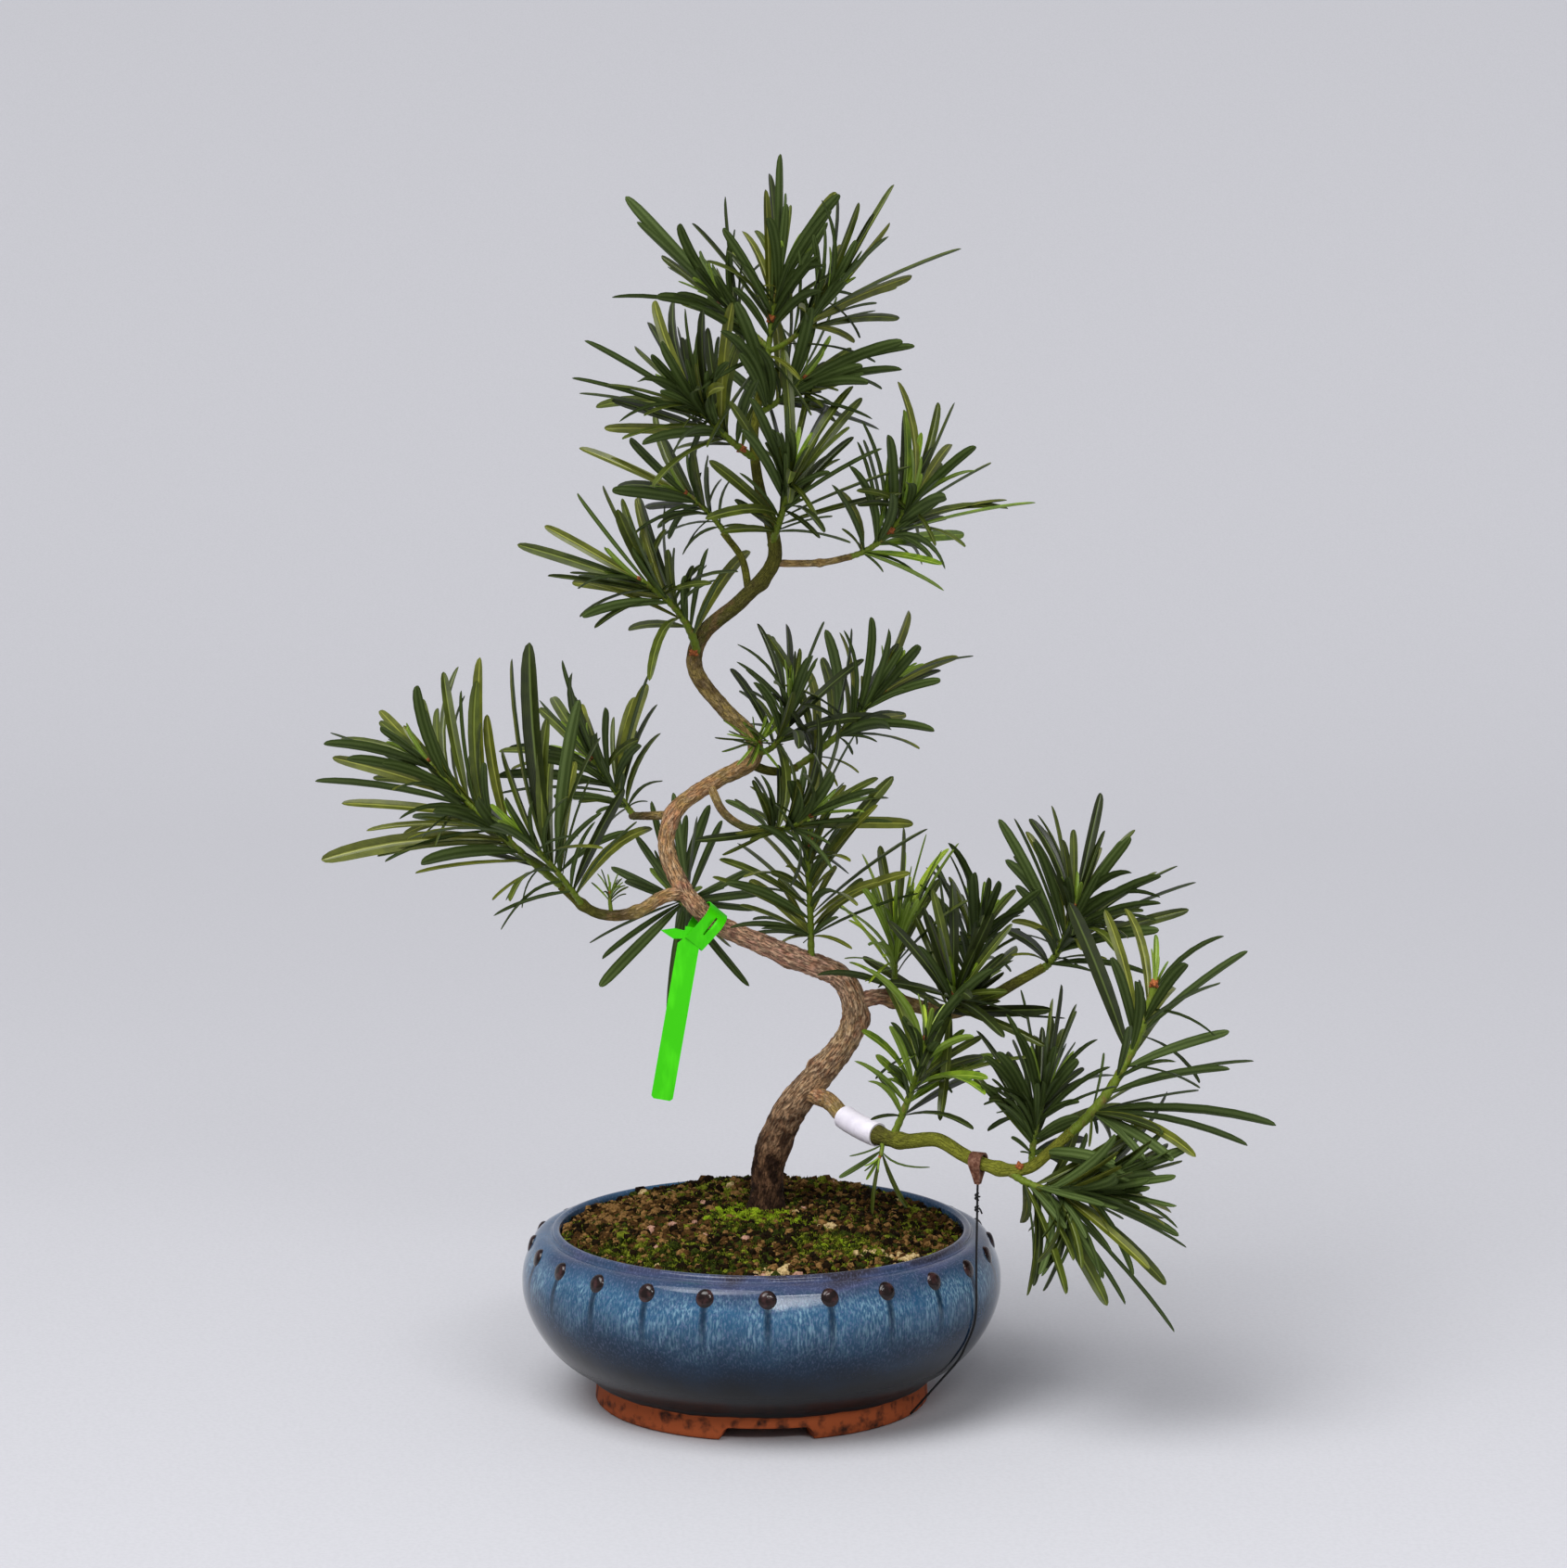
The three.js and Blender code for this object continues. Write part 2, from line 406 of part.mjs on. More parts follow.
// A strap leaf from a point at t = `from` to its tip: a flat upper face and a low keel.
function leafSolid(leaf, from) {
  const widest = leafPath(leaf, LEAF.widestAt);
  const forward = leafPath(leaf, LEAF.widestAt + 0.02).sub(widest).normalize();
  const side = leaf.side.clone().addScaledVector(forward, -leaf.side.dot(forward))
    .setLength(0.5 * LEAF.widthShare * leaf.length);
  const keel = new THREE.Vector3().crossVectors(forward, side).setLength(LEAF.thickness);
  const corners = [
    leafPath(leaf, from), widest.clone().add(side), widest.clone().sub(side),
    widest.clone().add(keel), leafPath(leaf, 1),
  ];
  const geometry = new THREE.BufferGeometry().setFromPoints(corners);
  geometry.setIndex([0, 1, 2, 0, 2, 3, 0, 3, 1, 4, 2, 1, 4, 3, 2, 4, 1, 3]);
  return solidOf(geometry);
}

// The four numbers drawn for every leaf, whether it is kept or not.
function drawn(numbers) {
  return Array.from({ length: 4 }, () => numbers.next().value);
}

function leafFrom(root, heading, chord, length, arch, roll) {
  const side = new THREE.Vector3().crossVectors(chord, heading);
  if (side.lengthSq() < 1e-4) side.set(0, 1, 0);
  side.normalize().applyAxisAngle(chord.clone().normalize(), roll);
  return { root, heading, chord: chord.clone().normalize(), length, arch, side };
}

// The fan's leaves: those in line with the stem come from its tip, the others lower down. Each
// is given in four ways, towards the front and the back, from lower and from higher on the stem.
function fanLeaves(shoot, stem, numbers) {
  const bearingOf = ({ x, z }) => THREE.MathUtils.radToDeg(Math.atan2(z, x));
  const pivot = onStem(stem, SHOOT.pivot).point;
  const stemBearing = bearingOf(onStem(stem, 1).point.sub(pivot));
  const full = shoot.leaf ?? LEAF.length;
  return shoot.fan.map(([x, z, face], i) => {
    const [sizeDraw, archDraw, faceDraw, sideDraw] = drawn(numbers);
    const tip = new THREE.Vector3(x, 0, z);
    const off = Math.abs(((bearingOf(tip.clone().sub(pivot)) - stemBearing + 540) % 360) - 180);
    const shown = face ?? SHOOT.faceFrom + (1 - SHOOT.faceFrom) * faceDraw;
    const roll = Math.asin(shown) * (sizeDraw > 0.5 ? 1 : -1);
    const arch = SHOOT.archFrom + SHOOT.archRange * archDraw;
    const leafAt = (s, side) => {
      const { point, heading } = onStem(stem, s);
      const chord = tip.clone().sub(point).setY(0);
      const reach = chord.length();
      const size = Math.max(reach, Math.min(full * (0.9 + 0.2 * sizeDraw), 1.6 * reach));
      chord.y = Math.sqrt(size * size - reach * reach) * side;
      return leafFrom(point, heading, chord, size, arch, roll);
    };
    const { leafyFrom, leafyTo, fullTurn } = SHOOT;
    const low = leafyTo - (leafyTo - leafyFrom) * Math.min(1, off / fullTurn);
    const side = (i + (sideDraw > 0.8)) % 2 ? 1 : -1;
    return [low, (leafyTo + low) / 2].flatMap((s) => [leafAt(s, side), leafAt(s, -side)]);
  });
}

// The whorl's leaves: by turns to the front and the back of the stem, closing on its tip.
function whorlLeaves(shoot, stem, numbers) {
  const full = shoot.leaf ?? LEAF.length;
  return Array.from({ length: shoot.whorl }, (_, i) => {
    const [sizeDraw, archDraw, rollDraw, sideDraw] = drawn(numbers);
    const s = 0.4 + (0.6 * (i + 0.5)) / shoot.whorl;
    const { point, heading } = onStem(stem, s);
    const depth = new THREE.Vector3(0, 1, 0);
    if (Math.abs(heading.y) > 0.8) depth.set(0, 0, 1);
    const across = new THREE.Vector3().crossVectors(heading, depth).normalize();
    depth.crossVectors(across, heading);
    const spread = THREE.MathUtils.degToRad(82 - 50 * s + 14 * archDraw);
    const swing = THREE.MathUtils.degToRad(110 * (sideDraw - 0.5));
    const front = i % 2 ? 1 : -1;
    const chord = heading.clone().multiplyScalar(Math.cos(spread))
      .addScaledVector(depth, front * Math.cos(swing) * Math.sin(spread))
      .addScaledVector(across, Math.sin(swing) * Math.sin(spread));
    const size = full * (0.78 + 0.26 * sizeDraw);
    return [leafFrom(point, heading, chord, size, 0.25 + 0.3 * archDraw, 1.4 * (rollDraw - 0.5))];
  });
}

// ---- Growing the tree ---------------------------------------------------------------------------

function growTree() {
  const limbs = new Map();
  const placed = new Map(); // every finished solid of the tree, by name

  const trunk = limbOf(vectors(TRUNK), TRUNK.map((row) => row[3]), TRUNK_MESH.sides, TRUNK_MESH.steps);
  const under = new THREE.BoxGeometry(80, 80, 80).translate(0, 0, SOIL.crown + GAP - 40);
  trunk.solid = mainBody(trunk.solid.subtract(solidOf(under.translate(TRUNK[0][0], TRUNK[0][1], 0))));
  limbs.set('trunk', trunk);
  placed.set('trunk', trunk.solid);

  for (const bough of BOUGHS) {
    const limb = boughLimb(bough);
    limb.solid = mainBody(limb.solid.subtract(limbs.get(bough.from).grown));
    limbs.set(bough.name, limb);
    placed.set(bough.name, limb.solid);
  }

  // The shoots of one mass are one solid.
  const grown = SHOOTS.map((shoot) => {
    const stem = vectors(shoot.stem);
    const line = Array.from({ length: SHOOT.steps + 1 }, (_, i) => onStem(stem, i / SHOOT.steps).point);
    const bare = tubeSolid(line, (u) => along(shoot.girth, u) / 2, SHOOT.sides, SHOOT.steps);
    const solid = shoot.from ? mainBody(bare.subtract(limbs.get(shoot.from).grown)) : bare;
    const before = placed.get(shoot.mass);
    placed.set(shoot.mass, before ? before.add(solid) : solid);
    const numbers = stream(shoot.seed);
    return {
      own: shoot.mass,
      fan: fanLeaves(shoot, stem, numbers),
      whorl: whorlLeaves(shoot, stem, numbers),
    };
  });

  // A leaf stands in the first of its ways in which it touches no other piece, and is left out
  // where there is none. The blade of a whorl's leaf also keeps clear of those of its own mass.
  const blades = new Map(grown.map(({ own }) => [own, []]));
  const isClear = (solid, other) => solid.minGap(other, 2 * GAP) >= GAP;
  for (const kind of ['fan', 'whorl']) {
    for (const shoot of grown) {
      const { own } = shoot;
      const kept = [placed.get(own)];
      const fits = ({ solid, blade }) =>
        [...placed].every(([name, other]) => name === own || isClear(solid, other))
        && (kind === 'fan' || blades.get(own).every((other) => isClear(blade, other)));
      for (const ways of shoot[kind]) {
        const leaf = ways.map((way) => ({
          solid: leafSolid(way, 0), blade: leafSolid(way, LEAF.bladeFrom),
        })).find(fits);
        if (!leaf) continue;
        kept.push(leaf.solid);
        blades.get(own).push(leaf.blade);
      }
      placed.set(own, mainBody(wasm.Manifold.union(kept)));
    }
  }
  return placed;
}

// ---- Pot and soil ---------------------------------------------------------------------------------

// A profile of [radius, height] pairs turned about +Z.
function turned(profile, segments) {
  return new THREE.LatheGeometry(vectors2(profile), segments).rotateX(Math.PI / 2);
}

function potSolid() {
  const underside = [[POT.footInner, 0], [POT.footInner, POT.recess], [0, POT.recess]];
  const section = [...underside.reverse(), ...POT_FACE, ...POT_LIP, ...POT_CAVITY, [0, POT.floorTop]];
  const cuts = [];

  const notch = new THREE.BoxGeometry(FOOT_NOTCH.width, 60, 2 * FOOT_NOTCH.height)
    .translate(0, -POT.footRadius, 0);
  for (let i = 0; i < FOOT_NOTCH.count; i++) {
    const turn = THREE.MathUtils.degToRad(FOOT_NOTCH.firstTurn + (360 * i) / FOOT_NOTCH.count);
    cuts.push(solidOf(notch.clone().rotateZ(turn)));
  }
  const drain = new THREE.CylinderGeometry(POT.drainRadius, POT.drainRadius, 3 * POT.recess, 12)
    .rotateX(Math.PI / 2).translate(0, 0, POT.floorTop - POT.recess / 2);
  for (const side of [-1, 1]) {
    cuts.push(solidOf(drain.clone().translate(side * POT.drainOffset, 0, 0)));
  }

  // A stud is a low cone with its top cut off, square on the slope of the shoulder.
  const slope = Math.atan2(POT.bellyRadius - POT.shoulderRadius, POT.shoulderHeight - POT.bellyHeight);
  const stud = new THREE.CylinderGeometry(0.6 * STUDS.radius, STUDS.radius, 2 * STUDS.proud, 7)
    .rotateX(Math.PI / 2 - slope).translate(0, -STUDS.ring, STUDS.height);
  const studs = Array.from({ length: STUDS.count }, (_, i) => {
    const turn = THREE.MathUtils.degToRad(STUDS.firstTurn + (360 * i) / STUDS.count);
    return solidOf(stud.clone().rotateZ(turn));
  });
  const body = solidOf(turned(section, TURNED_SIDES)).subtract(wasm.Manifold.union(cuts));
  return body.add(wasm.Manifold.union(studs));
}

// The soil fills the pot, clear of its wall and floor, and rises to a flat top round the trunk.
function soilSolid() {
  const cavity = POT_CAVITY.map(([radius, height]) => {
    const lift = height < POT.bellyHeight ? SOIL.clear : 0;
    return [radius - SOIL.clear, height + lift];
  }).reverse();
  const edge = POT.mouthRadius - SOIL.clear;
  const fall = (radius) => (radius - SOIL.crownRadius) / (edge - SOIL.crownRadius);
  const topAt = (radius) => SOIL.crown - (SOIL.crown - SOIL.edgeTop) * fall(radius) ** SOIL.bow;
  const slope = [edge, ...SOIL.rings, SOIL.crownRadius].map((radius) => [radius, topAt(radius)]);
  const top = [...slope, [0, SOIL.crown]];
  const geometry = turned([[0, POT.floorTop + SOIL.clear], ...cavity, ...top], TURNED_SIDES);
  const corners = geometry.attributes.position;
  for (let i = 0; i < corners.count; i++) {
    const corner = new THREE.Vector3().fromBufferAttribute(corners, i);
    const radius = Math.hypot(corner.x, corner.y);
    const humped = corner.z > SOIL.edgeTop + WELD && radius > SOIL.crownRadius + WELD;
    if (humped) corners.setZ(i, corner.z + humpAt(corner.x, corner.y));
  }
  return solidOf(geometry);
}

// How far the soil's top stands over its even rise at one place.
function humpAt(x, y) {
  const [waveX, waveY] = SOIL.humpAcross;
  const [startX, startY] = SOIL.humpStart;
  return SOIL.hump * Math.sin(x / waveX + startX) * Math.sin(y / waveY + startY);
}

// ---- Label, tape, pad and wire ------------------------------------------------------------------------

// Turns a geometry so that its own +Z looks along `axis` and its -Y along `down`, and moves it.
function seated(geometry, at, axis, down) {
  const z = new THREE.Vector3(...axis).normalize();
  const x = new THREE.Vector3(...down).negate().cross(z).normalize();
  const y = new THREE.Vector3().crossVectors(z, x);
  return geometry.applyMatrix4(new THREE.Matrix4().makeBasis(x, y, z)).translate(...at);
}

// A band round a limb: an arc of `radius` over it, closing to a point at `drop` below.
function bandGeometry(radius, drop, thickness, width, curveSegments) {
  const outline = (grow) => {
    const shape = new THREE.Shape();
    shape.absarc(0, 0, radius + grow, -0.35, Math.PI + 0.35, false);
    shape.lineTo(-0.4 * thickness - 0.4 * grow, -drop - grow);
    shape.lineTo(0.4 * thickness + 0.4 * grow, -drop - grow);
    shape.closePath();
    return shape;
  };
  const band = outline(thickness);
  band.holes.push(outline(0));
  return new THREE.ExtrudeGeometry(band, { depth: width, bevelEnabled: false, curveSegments })
    .translate(0, 0, -width / 2);
}

function labelSolid() {
  const { width, thickness, neck, tail } = LABEL;
  const loop = seated(bandGeometry(LABEL.loopRadius, LABEL.pinch - thickness, thickness, width, 8),
    LABEL.at, LABEL.axis, LABEL.hangs);
  const half = width / 2;
  const strap = new THREE.Shape(vectors2([
    [neck, 4], [neck, -4], [half, -6], [half, -tail], [-half, -tail], [-half, -6], [-neck, -4],
    [-half - 3, -4.6], [-half - 11, -1.2], [-half - 3, 1.6], [-neck, 1], [-neck, 4],
  ]));
  const flat = new THREE.ExtrudeGeometry(strap, { depth: thickness, bevelEnabled: false })
    .rotateZ(-LABEL.slant).rotateX(Math.PI / 2).translate(...LABEL.tailAt);
  return mainBody(solidOf(loop).add(solidOf(flat)));
}

// The tape is wound tightly round the graft near the foot of the low bough.
function tapeSolid(bough) {
  const curve = new THREE.CatmullRomCurve3(vectors(bough.line), false, 'catmullrom', 0.5);
  const places = [TAPE.from, (TAPE.from + TAPE.to) / 2, TAPE.to];
  const tube = tubeSolid(places.map((u) => curve.getPoint(u)), () => TAPE.radius, TAPE.sides, 2);
  return mainBody(tube.subtract(boughLimb(bough).grown));
}

function padSolid(bough) {
  const band = bandGeometry(PAD.radius, PAD.drop, PAD.thickness, PAD.width, 8);
  const pad = solidOf(seated(band, PAD.at, PAD.axis, [0, 0, -1]));
  return mainBody(pad.subtract(boughLimb(bough).grown));
}

function wireSolid() {
  const turn = THREE.MathUtils.degToRad(WIRE.turn);
  const line = WIRE_LINE.map(([radius, height]) =>
    new THREE.Vector3(radius * Math.sin(turn), -radius * Math.cos(turn), height));
  return tubeSolid(line, () => WIRE.radius, WIRE.sides, WIRE.steps);
}

// ---- The scene graph ----------------------------------------------------------------------------------

function meshOf(name, solid, finish) {
  const [color, roughness] = FINISH[finish];
  const material = new THREE.MeshStandardMaterial({ color, roughness, metalness: 0 });
  const mesh = new THREE.Mesh(geometryOf(solid), material);
  mesh.name = name;
  return mesh;
}

const bonsai = new THREE.Group();
bonsai.position.set(CENTRE_SHIFT.x, CENTRE_SHIFT.y, 0);

for (const [name, solid] of growTree()) {
  const shoot = SHOOTS.find((each) => each.mass === name);
  bonsai.add(meshOf(name, solid, shoot ? shoot.finish ?? 'leaf' : 'bark'));
}
bonsai.add(meshOf('pot', potSolid(), 'glaze'));
bonsai.add(meshOf('soil', soilSolid(), 'soil'));
bonsai.add(meshOf('label', labelSolid(), 'label'));
const lowBough = BOUGHS.find((bough) => bough.name === 'bough_low');
bonsai.add(meshOf('graft_tape', tapeSolid(lowBough), 'tape'));
bonsai.add(meshOf('tie_pad', padSolid(lowBough), 'pad'));
bonsai.add(meshOf('tie_wire', wireSolid(), 'wire'));

export default bonsai;
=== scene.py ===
"""Looks of a podocarpus bonsai in a glazed drum pot: bark, leaves, pot, soil, label and ties.

Every shape is worked out in millimetres about the pot's axis, with +X to the right, -Y to the
front and +Z up, and is set in the frame's metres by one shift.
"""

import itertools
import json
import logging
import math
from collections.abc import Callable, Iterator, Sequence
from dataclasses import dataclass, field
from enum import Enum, IntEnum

import bpy
import numpy as np
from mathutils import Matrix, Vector, geometry, noise

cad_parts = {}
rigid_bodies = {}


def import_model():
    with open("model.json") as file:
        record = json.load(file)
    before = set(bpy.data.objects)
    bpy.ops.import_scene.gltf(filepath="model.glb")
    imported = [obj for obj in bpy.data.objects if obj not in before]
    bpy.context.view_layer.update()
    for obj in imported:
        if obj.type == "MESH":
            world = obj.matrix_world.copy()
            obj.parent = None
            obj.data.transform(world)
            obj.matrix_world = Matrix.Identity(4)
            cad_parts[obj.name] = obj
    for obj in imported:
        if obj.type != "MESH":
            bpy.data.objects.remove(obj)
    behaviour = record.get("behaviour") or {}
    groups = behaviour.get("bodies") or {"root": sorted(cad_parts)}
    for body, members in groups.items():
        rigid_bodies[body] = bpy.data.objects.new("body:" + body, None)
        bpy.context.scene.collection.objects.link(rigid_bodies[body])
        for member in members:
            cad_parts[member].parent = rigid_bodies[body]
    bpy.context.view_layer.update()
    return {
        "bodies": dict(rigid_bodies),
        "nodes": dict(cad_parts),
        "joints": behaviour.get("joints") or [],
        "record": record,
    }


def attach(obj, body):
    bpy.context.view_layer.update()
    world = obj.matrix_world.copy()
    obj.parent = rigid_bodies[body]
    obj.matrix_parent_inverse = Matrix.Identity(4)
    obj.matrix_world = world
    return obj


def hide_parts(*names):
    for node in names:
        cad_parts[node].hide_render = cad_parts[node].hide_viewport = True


LOG = logging.getLogger("bonsai")
MM = 0.001
SHIFT = (-19.0, 8.0, 0.0)  # from the pot's axis to the centre of the whole
UP = np.array([0.0, 0.0, 1.0])
Array = np.ndarray
Point = tuple[float, float, float]
Pairs = tuple[tuple[float, float], ...]
Rows = tuple[tuple[float, ...], ...]


# ---- Small helpers ----


def linear(colour: str) -> tuple[float, ...]:
    """Turns an sRGB hex colour to linear light.

    Args:
        colour: six hex digits after a hash.

    Returns:
        Red, green, blue and an alpha of 1.
    """
    parts = [int(colour[i : i + 2], 16) / 255 for i in (1, 3, 5)]
    return (*(c / 12.92 if c <= 0.04045 else ((c + 0.055) / 1.055) ** 2.4 for c in parts), 1.0)


def unit(vectors: Array) -> Array:
    """Returns a vector, or rows of them, scaled to length one."""
    return vectors / np.maximum(np.linalg.norm(vectors, axis=-1, keepdims=True), 1e-9)


def circle(count: int) -> Array:
    """Returns angles spread evenly over a full turn."""
    return np.linspace(0, 2 * math.pi, count, endpoint=False)


def facing(degrees: float) -> tuple[Array, Array]:
    """Returns the ways out from the pot's axis and to the right, at a turn from the front."""
    sin, cos = math.sin(math.radians(degrees)), math.cos(math.radians(degrees))
    return np.array([sin, -cos, 0.0]), np.array([cos, sin, 0.0])


def within(span: tuple[float, float], draw: float | Array) -> float | Array:
    """Returns the span's first number plus a share of its second."""
    return span[0] + span[1] * draw


def run_along(line: Array) -> Array:
    """Returns the distance along a line at each of its points."""
    return np.concatenate([[0], np.cumsum(np.linalg.norm(np.diff(line, axis=0), axis=1))])


def spline(rows: Array, u: Array) -> Array:
    """Reads a uniform Catmull-Rom line.

    Args:
        rows: the line's points, with any further values beside them.
        u: places from 0 at the first point to 1 at the last.

    Returns:
        One row for each place.
    """
    last = len(rows) - 1
    place = np.clip(u, 0, 1) * last
    i = np.minimum(place.astype(int), last - 1)
    w = (place - i)[:, None]
    padded = np.vstack([2 * rows[0] - rows[1], rows, 2 * rows[-1] - rows[-2]])
    p0, p1, p2, p3 = (padded[i + k] for k in range(4))
    t0, t1 = 0.5 * (p2 - p0), 0.5 * (p3 - p1)
    return p1 + t0 * w + (3 * (p2 - p1) - 2 * t0 - t1) * w**2 + (2 * (p1 - p2) + t0 + t1) * w**3


def spokes(line: Array, count: int) -> Array:
    """Stands unit spokes round a line, without a twist along it.

    Args:
        line: the points of the line.
        count: the number of spokes at each.

    Returns:
        The spokes, points by spokes by x, y and z.
    """
    held, frames = np.array([0.0, 1.0, 0.0]), []
    for tangent in unit(np.gradient(line, axis=0)):
        up = unit(np.cross(tangent, held))
        held = unit(np.cross(up, tangent))
        frames.append((held, up))
    across, up = np.moveaxis(np.array(frames), 1, 0)[:, :, None]
    turn = circle(count)[None, :, None]
    return across * np.cos(turn) + up * np.sin(turn)


# ---- Meshes ----


@dataclass
class Shape:
    """A mesh in the making, in millimetres about the pot's axis."""

    points: list[Array] = field(default_factory=list)
    faces: list[tuple[Array, Array, Array]] = field(default_factory=list)
    values: dict[str, list[tuple[int, Array]]] = field(default_factory=dict)
    count: int = 0

    def vertices(self, points: Array, **values: Array) -> int:
        """Adds points.

        Args:
            points: rows of x, y and z.
            values: named numbers, one for each point.

        Returns:
            The number of the first of them.
        """
        first = self.count
        self.points.append(points.reshape(-1, 3))
        self.count += len(self.points[-1])
        for name, data in values.items():
            self.values.setdefault(name, []).append((first, np.asarray(data, float)))
        return first

    def polygons(self, corners: Array, material: int | Array = 0, smooth: bool = True) -> None:
        """Adds faces that all have the same number of corners.

        Args:
            corners: rows of point numbers.
            material: the material's place, one for all or one for each face.
            smooth: whether they are shaded smooth.
        """
        slots = np.broadcast_to(np.asarray(material, int), len(corners))
        self.faces.append((corners.astype(int), slots, np.full(len(corners), smooth)))

    def grid(
        self,
        points: Array,
        wrap: bool = False,
        caps: bool = False,
        material: int | Array = 0,
        **values: Array,
    ) -> None:
        """Adds a sheet or a tube of quads.

        Args:
            points: rows by columns by x, y and z; the columns run round a tube.
            wrap: whether the last column joins the first.
            caps: whether a tube is closed at both ends.
            material: the material's place, one for all or one for each row of quads.
            values: named numbers, one for each point, row by row.
        """
        rows, columns = points.shape[:2]
        number = self.vertices(points, **values) + np.arange(rows * columns).reshape(rows, columns)
        beside = np.roll(number, -1, axis=1) if wrap else number[:, 1:]
        here = number if wrap else number[:, :-1]
        quads = np.stack([here[:-1], beside[:-1], beside[1:], here[1:]], axis=-1)
        if isinstance(material, np.ndarray):
            material = np.repeat(material, quads.shape[1])
        self.polygons(quads.reshape(-1, 4), material)
        if caps:
            self.polygons(number[:1, ::-1], material, smooth=False)
            self.polygons(number[-1:], material, smooth=False)

    def tube(self, line: Array, radii: Array | float, sides: int) -> None:
        """Adds a round tube along a line.

        Args:
            line: the points of its middle.
            radii: its radius, one for all or one for each point.
            sides: the number of points round it.
        """
        reach = np.broadcast_to(radii, len(line))[:, None, None]
        self.grid(line[:, None] + spokes(line, sides) * reach, wrap=True, caps=True)

    def build(self, name: str, finishes: Sequence["Finish"]) -> bpy.types.Object:
        """Makes the Blender object.

        Args:
            name: the piece's name.
            finishes: what its faces' material numbers stand for.

        Returns:
            The object, standing in the frame.
        """
        mesh = bpy.data.meshes.new(name)
        points = np.vstack(self.points)
        corners = np.concatenate([block.ravel() for block, _, _ in self.faces])
        totals = np.concatenate([np.full(len(block), block.shape[1]) for block, _, _ in self.faces])
        slots = np.concatenate([slot for _, slot, _ in self.faces])
        mesh.vertices.add(len(points))
        mesh.loops.add(len(corners))
        mesh.polygons.add(len(totals))
        for part, label, data, kind in (
            (mesh.vertices, "co", points.ravel() * MM, np.float32),
            (mesh.loops, "vertex_index", corners, np.int32),
            (mesh.polygons, "loop_start", np.cumsum(totals) - totals, np.int32),
            (mesh.polygons, "material_index", slots, np.int32),
            (mesh.polygons, "use_smooth", np.concatenate([smooth for *_, smooth in self.faces]), bool),
        ):
            part.foreach_set(label, data.astype(kind))
        for label, blocks in self.values.items():
            width = 2 if label == "uv" else 1
            data = np.zeros((len(points), width), np.float32)
            for first, block in blocks:
                data[first : first + block.size // width] = block.reshape(-1, width)
            if width == 2:
                mesh.uv_layers.new(name="uv").uv.foreach_set("vector", data[corners].ravel())
            else:
                mesh.attributes.new(label, "FLOAT", "POINT").data.foreach_set("value", data.ravel())
        mesh.update(calc_edges=True)
        mesh.validate()
        for finish in finishes:
            mesh.materials.append(finish.material())
        piece = bpy.data.objects.new(name, mesh)
        piece.location = [s * MM for s in SHIFT]
        bpy.context.scene.collection.objects.link(piece)
        return piece

    def settle(self, name: str, finishes: Sequence["Finish"], slot: str, *nodes: str) -> None:
        """Makes the piece, sets it on the body and hides the CAD nodes that it replaces.

        Args:
            name: the piece's name.
            finishes: what its faces' material numbers stand for.
            slot: not used.
            nodes: the CAD nodes that it replaces.
        """
        piece = self.build(name, finishes)
        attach(piece, "root")
        if nodes:
            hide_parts(*nodes)
        LOG.info("%s: %d faces", name, len(piece.data.polygons))


# ---- Finishes ----


@dataclass(frozen=True)
class Signal:
    """A number, place or colour on its way through a material's nodes."""

    tree: bpy.types.NodeTree
    socket: bpy.types.NodeSocket

    def math(self, operation: str, *others: "Signal | float") -> "Signal":
        """Returns the outcome of an operation on this number and others."""
        return node(self.tree, "Math", dict(enumerate((self, *others))), operation=operation)

    def __add__(self, other: "Signal | float") -> "Signal":
        """Returns the sum."""
        return self.math("ADD", other)

    def __sub__(self, other: "Signal | float") -> "Signal":
        """Returns the difference."""
        return self.math("SUBTRACT", other)

    def __mul__(self, other: "Signal | float") -> "Signal":
        """Returns the product."""
        return self.math("MULTIPLY", other)

    def __abs__(self) -> "Signal":
        """Returns the number without its sign."""
        return self.math("ABSOLUTE")

    def ramp(self, low: float, high: float) -> "Signal":
        """Returns 0 at one number, 1 at the other, even between them and held beyond."""
        return node(self.tree, "MapRange", {0: self, 1: low, 2: high}, clamp=True)

    def scaled(self, *by: float) -> "Signal":
        """Returns a place with each of its directions scaled."""
        return node(self.tree, "VectorMath", {0: self, 1: by}, operation="MULTIPLY")

    def cloud(self, size: float, detail: float, low: float, high: float) -> "Signal":
        """Makes a cloudy pattern over a place.

        Args:
            size: the width of one patch in millimetres.
            detail: how many finer patterns lie over it.
            low: where the pattern starts to show.
            high: where it shows in full.

        Returns:
            A number from 0 to 1.
        """
        inputs = {"Vector": self, "Scale": 1 / size, "Detail": detail}
        return node(self.tree, "TexNoise", inputs).ramp(low, high)

    def blend(self, under: "Signal | str", over: "Signal | str") -> "Signal":
        """Returns the colour that one over another gives, where this is the upper one's share."""
        inputs = {k: linear(c) if isinstance(c, str) else c for k, c in ((6, under), (7, over))}
        return node(self.tree, "Mix", {0: self, **inputs}, out=2, data_type="RGBA")

    def stops(self, colours: Sequence[tuple[float, str]], low: float, high: float) -> "Signal":
        """Reads a colour off a row of stops by this number.

        Args:
            colours: numbers, and the colour at each.
            low: where the row starts.
            high: where it ends.

        Returns:
            The colour.
        """
        made = node(self.tree, "ValToRGB", {0: self.ramp(low, high)})
        elements = made.socket.node.color_ramp.elements
        for i, (number, colour) in enumerate(colours):
            at = (number - low) / (high - low)
            element = elements[i] if i < 2 else elements.new(at)
            element.position = at
            element.color = linear(colour)
        return made


